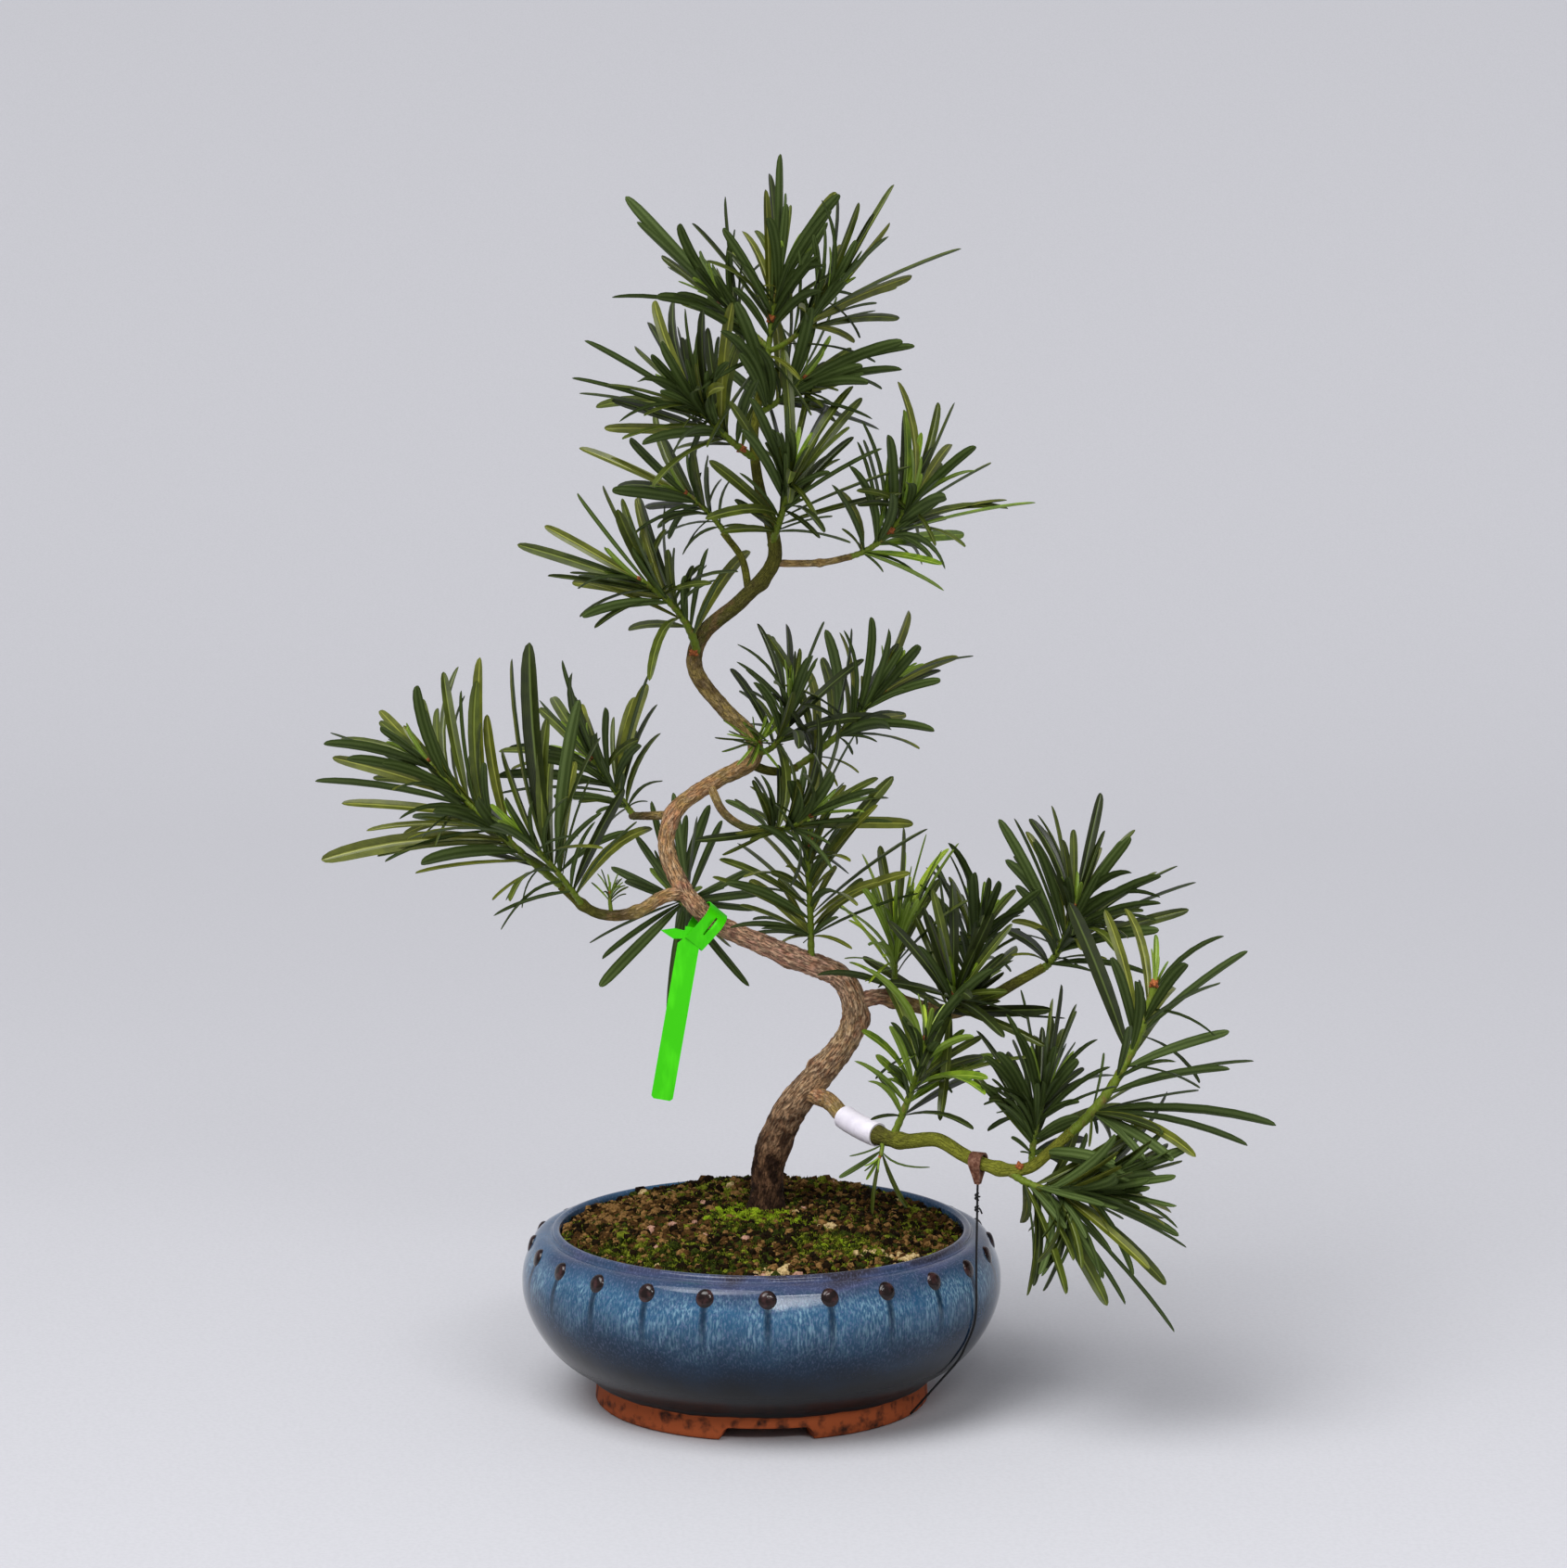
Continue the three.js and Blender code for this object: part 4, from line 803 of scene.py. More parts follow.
@dataclass(frozen=True)
class Mass:
    """One shoot of a mass of leaves.

    Its fan gives the tips of the leaves to the left and right as (x, z) and, for some, the share
    of the width that faces the front. The whorl counts the leaves to the front and back, and
    `inner` those that fill the heart. `finer` gives tips of further leaves within the same reach.
    `tints` draws the leaves' colours, by the letters of Tint; its deep and olive letters are partly
    painted shade and painted sunlight.
    """

    name: str
    seed: int
    whorl: int
    girth: tuple[float, float]
    stem: tuple[Point, ...]
    fan: Rows
    leaf: float = 76.0
    inner: int = 10
    finer: Rows = ()
    tints: str = "dggo"
    tuft: Tint = Tint.YOUNG
MASSES = (
    Mass("foliage_apex", 11, 9, (4, 3.4), ((3, 0, 597), (6, 0, 625), (11, -2, 652)), ((11, 722, 1), (5, 712),
        (14, 703, 1), (43, 703, 0.3), (39, 692, 0.3), (13, 681, 1), (-21, 681), (-39, 685, 0.3), (-7, 647)),
        inner=19, tints="ogogd", finer=((-30, 560, 0.7), (-14, 575, 0.9), (-34, 592, 0.8), (18, 562, 0.8),
        (28, 578, 0.6), (-6, 556, 0.8), (22, 596, 0.8), (-18, 628, 0.9), (-8, 600, 1), (14, 632, 0.9),
        (-40, 640, 0.5), (38, 655, 0.8))),
    Mass("foliage_apex", 37, 5, (3.6, 3.2), ((5, 0, 611), (22, -9, 622), (38, -14, 642)), ((75, 705, 1),
        (46, 671), (70, 677, 0.8), (113, 669, 0.3), (87, 652), (80, 631), (35, 686, 0.3), (66, 604, 0.8)),
        inner=19, tints="ogogd"),
    Mass("foliage_apex", 38, 5, (3.6, 3.2), ((5, 0, 612), (-8, 9, 624), (-22, 14, 638)), ((-45, 672, 0.3),
        (-35, 668, 1), (-77, 698, 0.3), (-54, 657), (-58, 643, 0.4), (-20, 700, 0.6)), inner=19,
        tints="ogogd"),
    Mass("foliage_top_right", 12, 9, (4.2, 3.4), ((-1, 0, 576), (10, 10, 582), (24, 17, 594)),
        ((79, 602, 0.3), (65, 607, 1), (60, 595, 0.3), (69, 563, 0.3), (47, 573), (35, 586), (-2, 615),
        (44, 640, 0.7)), inner=22, tints="gdo", finer=((-14, 640, 0.9), (4, 645, 1), (16, 650, 0.8),
        (-22, 625, 0.7), (28, 640, 0.8), (-30, 604, 0.6), (-12, 612, 1), (8, 628, 0.9))),
    Mass("foliage_top_left", 13, 12, (4.6, 3.6), ((-4, 0, 550), (-21, -10, 564), (-38, -16, 583)),
        ((-99, 619), (-107, 598, 0.8), (-103, 588, 0.4), (-90, 566), (-66, 565, 0.7), (-50, 555, 0.3),
        (-73, 612, 0.9), (-65, 626), (-55, 620, 0.4), (-48, 626, 0.8), (-42, 637, 0.4), (-32, 638, 0.9),
        (-16, 640, 0.8), (-26, 598, 1)), inner=27, tints="gogd", finer=((-24, 620, 0.9), (-10, 618, 1),
        (-2, 600, 0.8), (-20, 580, 0.7), (-36, 606, 0.9), (6, 590, 0.7))),
    Mass("foliage_top_front", 14, 9, (4.8, 3.6), ((6, 10, 500), (12, -12, 520), (17, -26, 543)),
        ((15, 584, 1), (3, 585, 0.8), (-10, 572, 0.9), (38, 580, 1), (49, 573, 0.6), (42, 551, 0.5),
        (68, 558), (85, 546, 0.7), (80, 530, 0.3), (-29, 552, 0.8), (-15, 529, 0.5), (25, 530, 0.9),
        (40, 522, 0.4), (50, 506, 0.6), (-22, 512, 0.4)), inner=24, tints="gdg", finer=((-6, 590, 0.8),
        (-18, 586, 0.6), (10, 560, 1), (26, 560, 0.8), (30, 596, 0.7))),
    Mass("foliage_high_right", 15, 12, (3.8, 3.4), ((49, 18, 491.5), (70, 18, 502), (87, 10, 525)),
        ((57, 576, 0.3), (72, 568), (84, 576, 0.8), (112, 580, 1), (111, 557), (121, 562, 0.3),
        (129, 550, 0.7), (143, 524, 0.5), (158, 526, 0.3), (120, 500, 0.7), (102, 492, 1), (88, 486, 0.3),
        (103, 478, 0.3), (63, 527, 1), (40, 538), (47, 527, 0.8)), inner=22, tints="ogygd",
        finer=((50, 548, 0.8), (60, 556, 0.6), (46, 510, 0.5), (56, 500, 0.6), (70, 485, 0.5))),
    Mass("foliage_high_left_back", 16, 7, (3.8, 3.4), ((-19.5, 29, 502.5), (-30, 31, 516), (-43, 30, 527)),
        ((-57, 556), (-38, 557, 1), (-30, 555, 0.5), (-106, 553, 0.3), (-61, 533, 0.3), (-68, 516, 1),
        (-15, 542, 0.3), (-62, 498, 0.3), (-45, 495, 0.4), (-5, 510, 0.4), (-84, 534, 0.6))),
    Mass("foliage_high_left", 17, 9, (5.4, 3.8), ((-37, 27, 434), (-47, 3, 461), (-69, -13, 481)),
        ((-105, 530, 1), (-80, 527, 1), (-74, 524, 0.5), (-139, 503), (-109, 500, 0.7), (-110, 475, 0.5),
        (-100, 468, 1), (-78, 448), (-56, 520, 0.8), (-52, 503, 1), (-43, 486, 0.7), (-30, 503, 0.6),
        (-22, 486, 0.5), (-7, 491, 0.3), (-120, 487, 0.4), (-90, 536, 0.5)), inner=19, tints="god"),
    Mass("sprout_trunk", 18, 9, (3, 2.4), ((-5, 24, 386), (-3, 12, 385), (-1, 6, 386)), ((-27, 387),
        (-22, 398), (-5, 402, 1), (3, 399), (13, 382), (-23, 378, 0.4)), leaf=22, inner=6, tints="gy"),
    Mass("foliage_mid_inner", 19, 7, (4, 3.4), ((-4, 22, 377), (9, 8, 385), (16, 2, 403)), ((-18, 423),
        (-13, 412, 0.6), (6, 441, 1), (15, 448, 0.6), (28, 446, 0.5), (37, 452, 1)), inner=11, tints="dg",
        finer=((24, 392, 0.8), (-16, 390, 0.6), (8, 408, 1), (30, 410, 0.7), (-4, 428, 0.8))),
    Mass("foliage_mid_right", 20, 12, (4.6, 3.8), ((18, 28, 366.5), (46, 30, 388), (70, 28, 414)), ((3, 446),
        (38, 443, 1), (-14, 435, 0.4), (6, 418, 0.6), (52, 421, 0.3), (59, 419, 0.5), (77, 432, 1),
        (82, 424, 0.3), (102, 427, 0.8), (66, 394, 0.8), (99, 398, 0.6), (90, 387, 0.5), (56, 370, 0.6),
        (88, 455, 0.4), (63, 462, 0.6)), inner=14, tints="god", finer=((36, 426, 1), (32, 410, 0.9),
        (42, 400, 0.8), (30, 352, 0.8), (20, 400, 0.9), (-8, 388, 0.7), (44, 360, 0.7), (28, 420, 0.8))),
    Mass("foliage_mid_front", 21, 9, (4.2, 3.4), ((0, -19.5, 338), (13, -26, 340), (27, -30, 348)),
        ((60, 367, 1), (46, 351, 0.6), (39, 336, 0.5), (88, 338, 0.4), (-22, 331, 0.5), (-21, 352, 0.8),
        (-37, 341, 0.3), (-5, 363, 1), (-15, 362, 0.6), (51, 307, 0.7), (20, 375, 0.8), (40, 380, 0.6)),
        inner=7, tints="dgo", finer=((0, 381, 0.8), (12, 367, 0.7), (-2, 367, 0.6), (8, 386, 0.6),
        (10, 372, 0.6), (-4, 376, 0.5), (24, 384, 0.4), (-12, 350, 0.5))),
    Mass("foliage_mid_low", 22, 12, (4.6, 3.4), ((29, 7, 256), (28, -3, 295), (26, -6, 326)), ((5, 320, 1),
        (76, 368, 1), (66, 357, 0.8), (52, 340), (96, 338, 0.3), (40, 315, 1), (-20, 315, 1),
        (-14, 321, 0.5), (-28, 312, 0.3), (-7, 297, 0.6), (85, 318, 0.7), (90, 303, 0.4), (52, 271, 0.3),
        (-5, 277, 0.7), (8, 360, 0.7), (34, 386, 0.5)), inner=6, tints="goog", finer=((-12, 300, 0.5),
        (0, 284, 0.6), (10, 300, 0.5), (14, 320, 0.8), (-8, 330, 0.4), (44, 310, 0.6), (-18, 290, 0.7),
        (-4, 268, 0.7), (44, 290, 0.7), (60, 300, 0.8), (-24, 326, 0.6), (36, 330, 0.9), (66, 318, 0.7),
        (8, 262, 0.5), (24, 270, 0.6))),
    Mass("foliage_left_outer", 23, 16, (5, 3.6), ((-112, -20, 304), (-150, -21, 337), (-190, -18, 377)),
        ((-252, 322, 1), (-204, 338, 1), (-170, 340, 0.6), (-175, 326, 0.9), (-196, 320), (-145, 303, 0.3),
        (-240, 354, 0.7), (-255, 368, 0.6), (-245, 382, 1), (-248, 394, 0.5), (-223, 400, 0.3),
        (-232, 388, 0.3), (-213, 406, 0.7), (-198, 407, 0.5), (-187, 416, 0.6), (-183, 428, 1),
        (-171, 419, 0.3), (-160, 438, 0.8), (-162, 427, 1), (-164, 409, 1), (-226, 340, 0.5)), inner=19,
        tints="ogg", finer=((-190, 330, 0.6), (-176, 316, 0.5), (-152, 304, 0.5), (-136, 298, 0.4),
        (-220, 324, 0.5))),
    Mass("foliage_left_inner", 24, 9, (4, 3.4), ((-103, -19, 294.5), (-114, -33, 313), (-133, -40, 336)),
        ((-103, 416, 1), (-131, 450, 0.6), (-141, 439, 0.3), (-122, 379, 0.6), (-77, 370, 1),
        (-108, 374, 0.5), (-93, 352, 0.5), (-149, 386, 0.4), (-64, 334, 0.6), (-150, 300, 0.6),
        (-70, 350, 0.5))),
    Mass("sprout_left", 25, 7, (2.8, 2.2), ((-86, -16, 288), (-87, -17, 296), (-87, -17, 301)), ((-82, 314),
        (-92, 315), (-76, 307), (-98, 307)), leaf=17, inner=3, tints="gy"),
    Mass("foliage_left_back", 26, 9, (4.2, 3.4), ((-74.5, 36, 338.3), (-85, 44, 351), (-99, 47, 370)),
        ((-127, 412, 1), (-107, 398), (-89, 408, 1), (-76, 404, 0.6), (-65, 424, 0.3), (-68, 413, 1),
        (-62, 400, 0.4), (-60, 382, 0.6), (-57, 366, 0.3), (-133, 396, 0.3), (-133, 383, 0.8),
        (-152, 368, 0.4), (-153, 356, 0.3), (-66, 349, 0.5), (-90, 331, 0.6), (-115, 432, 0.5)),
        finer=((-106, 350, 1), (-96, 344, 1), (-86, 344, 0.9), (-112, 342, 0.8), (-78, 342, 0.7),
        (-100, 372, 1), (-92, 360, 1), (-84, 352, 0.9), (-108, 360, 0.8), (-104, 344, 0.6), (-90, 352, 0.8),
        (-80, 366, 0.9), (-96, 362, 0.7), (-74, 384, 0.8))),
    Mass("foliage_behind_label", 27, 7, (4.6, 3.6), ((-41, 2, 296), (-45, 27, 288), (-48, 46, 287)),
        ((-38, 334, 1), (-23, 332, 0.6), (-5, 304, 0.5), (-75, 320, 0.6), (-78, 309, 0.5), (-90, 299, 0.6),
        (-99, 273, 0.9), (-92, 262, 0.6), (-93, 248, 0.3), (-18, 255, 1), (-3, 279, 0.5), (2, 290, 0.4),
        (-50, 246, 0.6), (-52, 350, 0.6))),
    Mass("foliage_shelf_end", 28, 16, (5.2, 3.6), ((164, 35.7, 246.6), (175, 34, 259), (184, 30, 285)),
        ((139, 338, 1), (148, 338, 0.3), (157, 330, 0.5), (172, 341, 0.4), (173, 331, 1), (186, 325, 0.6),
        (213, 332, 0.8), (218, 320, 0.6), (244, 312, 0.3), (234, 302, 0.3), (255, 299, 0.3), (219, 293, 0.6),
        (251, 283, 1), (230, 279, 1), (192, 252, 0.3), (145, 262, 0.3), (140, 280, 0.9), (201, 350, 0.4)),
        inner=24, tints="gdo", finer=((146, 306, 1), (152, 290, 1), (160, 278, 0.8), (226, 252, 0.5),
        (200, 262, 0.6))),
    Mass("foliage_shelf_lime", 29, 9, (4.6, 3.4), ((79, 20, 231), (78, 20, 247), (79, 18, 266)), ((57, 312),
        (77, 314, 1), (96, 331, 0.7), (105, 323, 0.5), (115, 326, 0.7), (70, 320, 0.6), (50, 288, 0.7),
        (46, 281, 0.3), (32, 260, 0.6), (52, 249, 0.5), (58, 241, 0.4), (118, 300, 0.5)), inner=11,
        tints="lylgl", tuft=Tint.LIME, finer=((60, 310, 0.7), (72, 304, 0.8), (84, 264, 0.9), (92, 258, 0.8),
        (80, 300, 1), (86, 312, 0.9), (74, 284, 1), (66, 292, 0.8), (90, 300, 0.9), (98, 288, 0.7),
        (84, 330, 0.9), (106, 310, 0.8))),
    Mass("foliage_shelf_front", 30, 9, (4.4, 3.4), ((106, 25, 224), (110, -6, 231), (111, -27, 244)),
        ((88, 285, 1), (100, 294, 0.7), (142, 275, 1), (175, 229, 1), (165, 240, 0.5), (60, 252, 0.5),
        (130, 300, 0.6), (152, 258, 0.5)), inner=19, tints="dg", finer=((92, 300, 0.9), (84, 296, 0.8),
        (104, 306, 1), (112, 296, 0.9))),
    Mass("foliage_shelf_middle", 31, 9, (4.4, 3.4), ((117, 27, 225), (123, 44, 244), (129, 50, 267)),
        ((122, 313, 0.8), (138, 306, 0.6), (150, 286, 0.3), (104, 300, 0.8), (96, 265, 0.5),
        (162, 300, 0.5)), inner=22, tints="dg"),
    Mass("foliage_shelf_low", 32, 9, (4.8, 3.4), ((75, -39.5, 162), (87, -42, 194), (94, -43, 220)),
        ((79, 243, 1), (95, 240, 0.7), (103, 239, 0.5), (56, 236, 0.8), (60, 208, 0.5), (71, 248, 0.4),
        (119, 232, 0.7), (128, 192, 1), (119, 180, 0.4), (136, 202, 0.3), (153, 219, 0.3), (62, 180, 0.6),
        (52, 222, 0.4)), inner=16, tints="gyd", tuft=Tint.LIME, finer=((72, 214, 0.9), (66, 196, 0.9),
        (76, 186, 0.8), (84, 230, 1), (64, 222, 1), (80, 206, 1))),
    Mass("sprout_low", 33, 2, (3, 2.4), ((70, -35, 162), (69, -42, 156), (68, -45, 153)), ((44, 147, 1),
        (84, 120, 0.7), (50, 158, 0.4)), leaf=40, inner=0, tints="gd"),
    Mass("foliage_low_rising", 34, 7, (6.4, 5), ((173.5, -77, 172.6), (203, -74, 208), (222, -70, 257)),
        ((173, 305, 1), (195, 297, 1), (193, 283, 0.5), (274, 279, 0.8), (210, 263), (231, 250, 0.4),
        (261, 237, 1), (278, 216, 0.3), (262, 217, 0.5), (291, 182, 0.7), (275, 166, 0.6), (252, 270, 0.5)),
        inner=6, tints="gdo", finer=((196, 214, 0.9), (206, 226, 0.8), (240, 176, 1), (228, 170, 1),
        (214, 166, 1), (200, 164, 0.9), (222, 186, 0.9), (250, 192, 0.6), (206, 176, 1), (192, 168, 1),
        (184, 170, 0.9), (236, 200, 0.8))),
    Mass("foliage_low_hanging", 35, 16, (5, 3.6), ((139, -76, 152), (161, -86, 143), (184, -88, 145)),
        ((229, 162, 0.6), (224, 158, 1), (229, 147, 1), (218, 139, 0.3), (232, 128, 0.6), (231, 118, 1),
        (214, 112, 1), (234, 62, 0.7), (193, 86, 1), (155, 82, 0.6), (150, 112, 0.8), (190, 103, 0.5),
        (173, 116, 0.9), (236, 178, 0.4)), inner=54, tints="gdgo", finer=((234, 170, 1), (226, 176, 0.9),
        (216, 180, 0.9), (205, 165, 1), (196, 178, 0.9), (182, 176, 0.8), (212, 152, 1), (192, 150, 1),
        (170, 128, 0.9), (180, 118, 0.8), (198, 172, 1), (186, 168, 0.9), (216, 170, 0.8), (176, 160, 1),
        (210, 150, 1), (200, 140, 0.9), (222, 138, 0.8), (188, 128, 1), (204, 120, 0.9), (176, 138, 1),
        (168, 98, 0.8), (182, 92, 0.9), (206, 78, 0.9), (240, 112, 0.5))),
    Mass("foliage_low_upright", 36, 12, (4.6, 3.4), ((153, -78, 155), (155, -65, 169), (160, -58, 187)),
        ((115, 202, 0.9), (124, 222, 0.6), (131, 227, 0.5), (150, 243, 0.6), (159, 241, 1), (150, 215, 1),
        (133, 195, 0.5), (168, 227, 0.3), (176, 225, 0.7), (170, 256, 1), (196, 210, 0.5)), inner=30,
        tints="gdd", finer=((176, 250, 1), (182, 236, 0.9), (140, 176, 0.8), (146, 164, 1), (176, 146, 1),
        (190, 150, 1), (196, 168, 1), (212, 176, 0.9), (188, 160, 1), (224, 186, 0.6), (204, 158, 1),
        (180, 152, 1), (198, 146, 0.8), (140, 232, 0.9), (168, 240, 1), (182, 214, 0.9), (126, 206, 0.8),
        (142, 210, 1), (160, 222, 0.9), (178, 196, 0.8))),
)


# ---- Leaves and shoots ----

# Places along a blade and the share of its full width there.
BLADE_PLACES = np.array([0.02, 0.07, 0.16, 0.3, 0.46, 0.62, 0.77, 0.88, 0.95, 0.985, 1.0])
BLADE_SHARES = np.array([0.2, 0.34, 0.62, 0.86, 0.98, 1.0, 0.98, 0.88, 0.68, 0.42, 0.08])
BLADE_ACROSS = np.array([-1.0, -0.5, 0.0, 0.5, 1.0])
WIDTH_SHARE = 0.088
BLADE_THICKNESS = 0.5
BLADE_FOLD = 0.3

Foot = tuple[Array, Array]
Look = tuple[Tint, float, float]


@dataclass
class Leaf:
    """One leaf: where it springs from, the ways it sets off and points, and its looks."""

    root: Array
    heading: Array
    chord: Array
    length: float
    arch: float
    side: Array
    look: Look

    def path(self, t: Array) -> Array:
        """Gives points of the midrib.

        Args:
            t: places from 0 at the root to 1 at the tip.

        Returns:
            One point for each place.
        """
        lift = unit((1 - self.arch) * self.chord + self.arch * self.heading) * self.length * 0.5
        t = t[:, None]
        sag = UP * -self.look[2] * self.length
        return self.root + lift * 2 * t * (1 - t) + self.chord * self.length * t * t + sag * t**3

    def add_to(self, shape: Shape) -> None:
        """Adds the blade's upper face in two halves, and its underside.

        Args:
            shape: the mesh that takes them.
        """
        tint, width, _ = self.look
        middle = self.path(BLADE_PLACES)
        forward = unit(self.path(BLADE_PLACES + 0.02) - middle)
        side = unit(self.side - forward * (forward @ self.side)[:, None])
        over = np.cross(side, forward)
        half = 0.5 * WIDTH_SHARE * self.length * width * BLADE_SHARES
        across = BLADE_ACROSS[None, :, None]
        upper = middle[:, None] + half[:, None, None] * (
            side[:, None] * across + over[:, None] * (BLADE_FOLD * np.abs(across))
        )
        keel = middle - over * BLADE_THICKNESS * np.minimum(1.0, BLADE_SHARES + 0.3)[:, None]
        under = np.stack([upper[:, 4], keel, upper[:, 0]], axis=1)
        kinds = list(Tint)
        back = len(kinds) + (tint in (Tint.YOUNG, Tint.LIME))
        for sheet, material, shares in (
            (upper[:, :3], kinds.index(tint), (0.0, 0.25, 0.5)),
            (upper[:, 2:], kinds.index(tint), (0.5, 0.75, 1.0)),
            (under, back, (1.0, 0.5, 0.0)),
        ):
            uv = np.stack(np.meshgrid(shares, BLADE_PLACES), axis=-1)
            shape.grid(sheet, material=material, uv=uv.reshape(-1, 2))


def stream(seed: int) -> Iterator[float]:
    """Gives the source's own repeatable numbers.

    Args:
        seed: the mass's seed.

    Returns:
        Numbers from 0 to 1, without end.
    """
    state = seed * 7919
    while True:
        state = (state * 16807) % 2147483647
        yield state / 2147483647


@dataclass
class Shoot:
    """A leafy shoot that grows by the source's rule.

    A pair is a least value and the range above it; angles are in degrees, rolls in radians, and
    other sizes are shares of the stem, of a leaf's full length or of its reach.
    """

    mass: Mass
    leafy_from: float = 0.2
    leafy_to: float = 0.97
    full_turn: float = 85.0
    pivot: float = 0.6
    longest: float = 1.6
    face_from: float = 0.45
    width: tuple[float, float] = (0.8, 0.27)
    lime_width: float = 0.62
    most_droop: float = 0.05
    fan_arch: tuple[float, float] = (0.08, 0.2)
    fan_size: tuple[float, float] = (0.9, 0.2)
    whorl_from: float = 0.4
    # The angle to the stem at its foot, its change up the stem, and its range.
    whorl_spread: Point = (82.0, -50.0, 14.0)
    whorl_swing: float = 110.0
    whorl_roll: float = 1.4
    whorl_arch: tuple[float, float] = (0.25, 0.3)
    whorl_size: tuple[float, float] = (0.78, 0.26)
    heart_place: tuple[float, float] = (0.3, 0.65)
    heart_swing: float = 24.0
    heart_roll: float = 2.6
    heart_arch: float = 0.2
    heart_reach: tuple[float, float] = (0.5, 0.36)
    heart_size: tuple[float, float] = (0.62, 0.25)
    tuft: int = 5
    tuft_spread: tuple[float, float] = (14.0, 22.0)
    tuft_size: tuple[float, float] = (0.6, 0.6)
    tuft_scale: float = 0.4
    tuft_arch: float = 0.3
    tuft_width: float = 1.3

    def __post_init__(self) -> None:
        """Reads the stem's three points and readies the two rows of numbers."""
        self.stem = np.array(self.mass.stem, float)
        self.numbers = stream(self.mass.seed)
        self.chance = np.random.default_rng(self.mass.seed + 500).random

    def on_stem(self, s: float) -> Foot:
        """Reads the stem.

        Args:
            s: the place from 0 at its foot to 1 at its tip.

        Returns:
            The point and the heading there.
        """
        a, b, c = self.stem
        point = a * (1 - s) * (1 - 2 * s) + b * 4 * s * (1 - s) + c * s * (2 * s - 1)
        return point, unit(a * (4 * s - 3) + b * (4 - 8 * s) + c * (4 * s - 1))

    def look(self) -> Look:
        """Gives the next leaf's looks.

        Returns:
            Its tint, its width and its droop as a share of its length.
        """
        letters = self.mass.tints
        tint = Tint(letters[int(self.chance() * len(letters))])
        grown = self.lime_width if tint is Tint.LIME else 1.0
        return tint, grown * within(self.width, self.chance()), self.most_droop * self.chance() ** 2

    @staticmethod
    def leaf(foot: Foot, chord: Array, length: float, arch: float, roll: float, look: Look) -> Leaf:
        """Sets a leaf on the stem.

        Args:
            foot: where it springs from, and the stem's heading there.
            chord: the way to its tip.
            length: its length in millimetres.
            arch: how far it follows the stem before it turns out.
            roll: how far its face turns about the chord.
            look: its looks.

        Returns:
            The leaf.
        """
        chord = unit(chord)
        side = np.cross(chord, foot[1])
        side = unit(side if side @ side >= 1e-4 else np.array([0.0, 1.0, 0.0]))
        side = side * math.cos(roll) + np.cross(chord, side) * math.sin(roll)
        return Leaf(*foot, chord, length, arch, side, look)

    def leaves(self) -> Iterator[list[Leaf]]:
        """Grows the fan, the whorl, the finer leaves within the fan's reach, the heart and the tuft.

        Returns:
            Each leaf in the ways it may stand, the best first.
        """
        for i, tip in enumerate(self.mass.fan):
            yield self.aimed(i, tip, [next(self.numbers) for _ in range(4)])
        yield from self.whorl()
        for i, tip in enumerate(self.mass.finer):
            yield self.aimed(i, tip, [self.chance() for _ in range(4)])
        yield from self.heart()
        yield from self.tufted()

    def aimed(self, i: int, tip: tuple[float, ...], draws: list[float]) -> list[Leaf]:
        """Sets a leaf so that its tip comes to a place.

        Args:
            i: its number, which gives the side that it leans to.
            tip: the place as x and z, and for some the share of the width that faces the front.
            draws: four numbers from 0 to 1.

        Returns:
            The leaf in four ways to stand, the best first.
        """
        size_draw, arch_draw, face_draw, side_draw = draws
        x, z, *face = tip
        tip = np.array([x, 0.0, z])
        pivot = self.on_stem(self.pivot)[0]
        ahead = self.bearing(self.on_stem(1)[0] - pivot)
        off = abs((self.bearing(tip - pivot) - ahead + 540) % 360 - 180)
        shown = face[0] if face else self.face_from + (1 - self.face_from) * face_draw
        roll = math.asin(shown) * (1 if size_draw > 0.5 else -1)
        arch = within(self.fan_arch, arch_draw)
        low = self.leafy_to - (self.leafy_to - self.leafy_from) * min(1, off / self.full_turn)
        side = 1 if (i + (side_draw > 0.8)) % 2 else -1
        look, ways = self.look(), []
        for s in (low, (self.leafy_to + low) / 2):
            foot = self.on_stem(s)
            flat = (tip - foot[0]) * np.array([1.0, 0.0, 1.0])
            reach = float(np.linalg.norm(flat))
            size = self.length(reach, within(self.fan_size, size_draw))
            out = np.array([0.0, math.sqrt(size * size - reach * reach), 0.0])
            ways += [self.leaf(foot, flat + lean * out, size, arch, roll, look) for lean in (side, -side)]
        return ways

    def length(self, reach: float, share: float) -> float:
        """Returns a leaf's length: a share of the full one, within what its reach allows."""
        return max(reach, min(self.mass.leaf * share, self.longest * reach))

    @staticmethod
    def bearing(step: Array) -> float:
        """Returns the way a step goes, in degrees up from the right, as seen from the front."""
        return math.degrees(math.atan2(step[2], step[0]))

    def whorled(self, front: int, s: float, spread: float, swing: float) -> tuple[Foot, Array]:
        """Points a leaf to the front or the back of the stem.

        Args:
            front: 1 for the back and -1 for the front.
            s: the place on the stem.
            spread: the angle to the stem, in degrees.
            swing: the turn to the side, in degrees.

        Returns:
            The leaf's foot and its direction.
        """
        foot = self.on_stem(s)
        heading = foot[1]
        across = unit(np.cross(heading, UP if abs(heading[1]) > 0.8 else np.array([0.0, 1.0, 0.0])))
        depth = np.cross(across, heading)
        a, b = math.radians(spread), math.radians(swing)
        chord = heading * math.cos(a) + (depth * front * math.cos(b) + across * math.sin(b)) * math.sin(a)
        return foot, chord

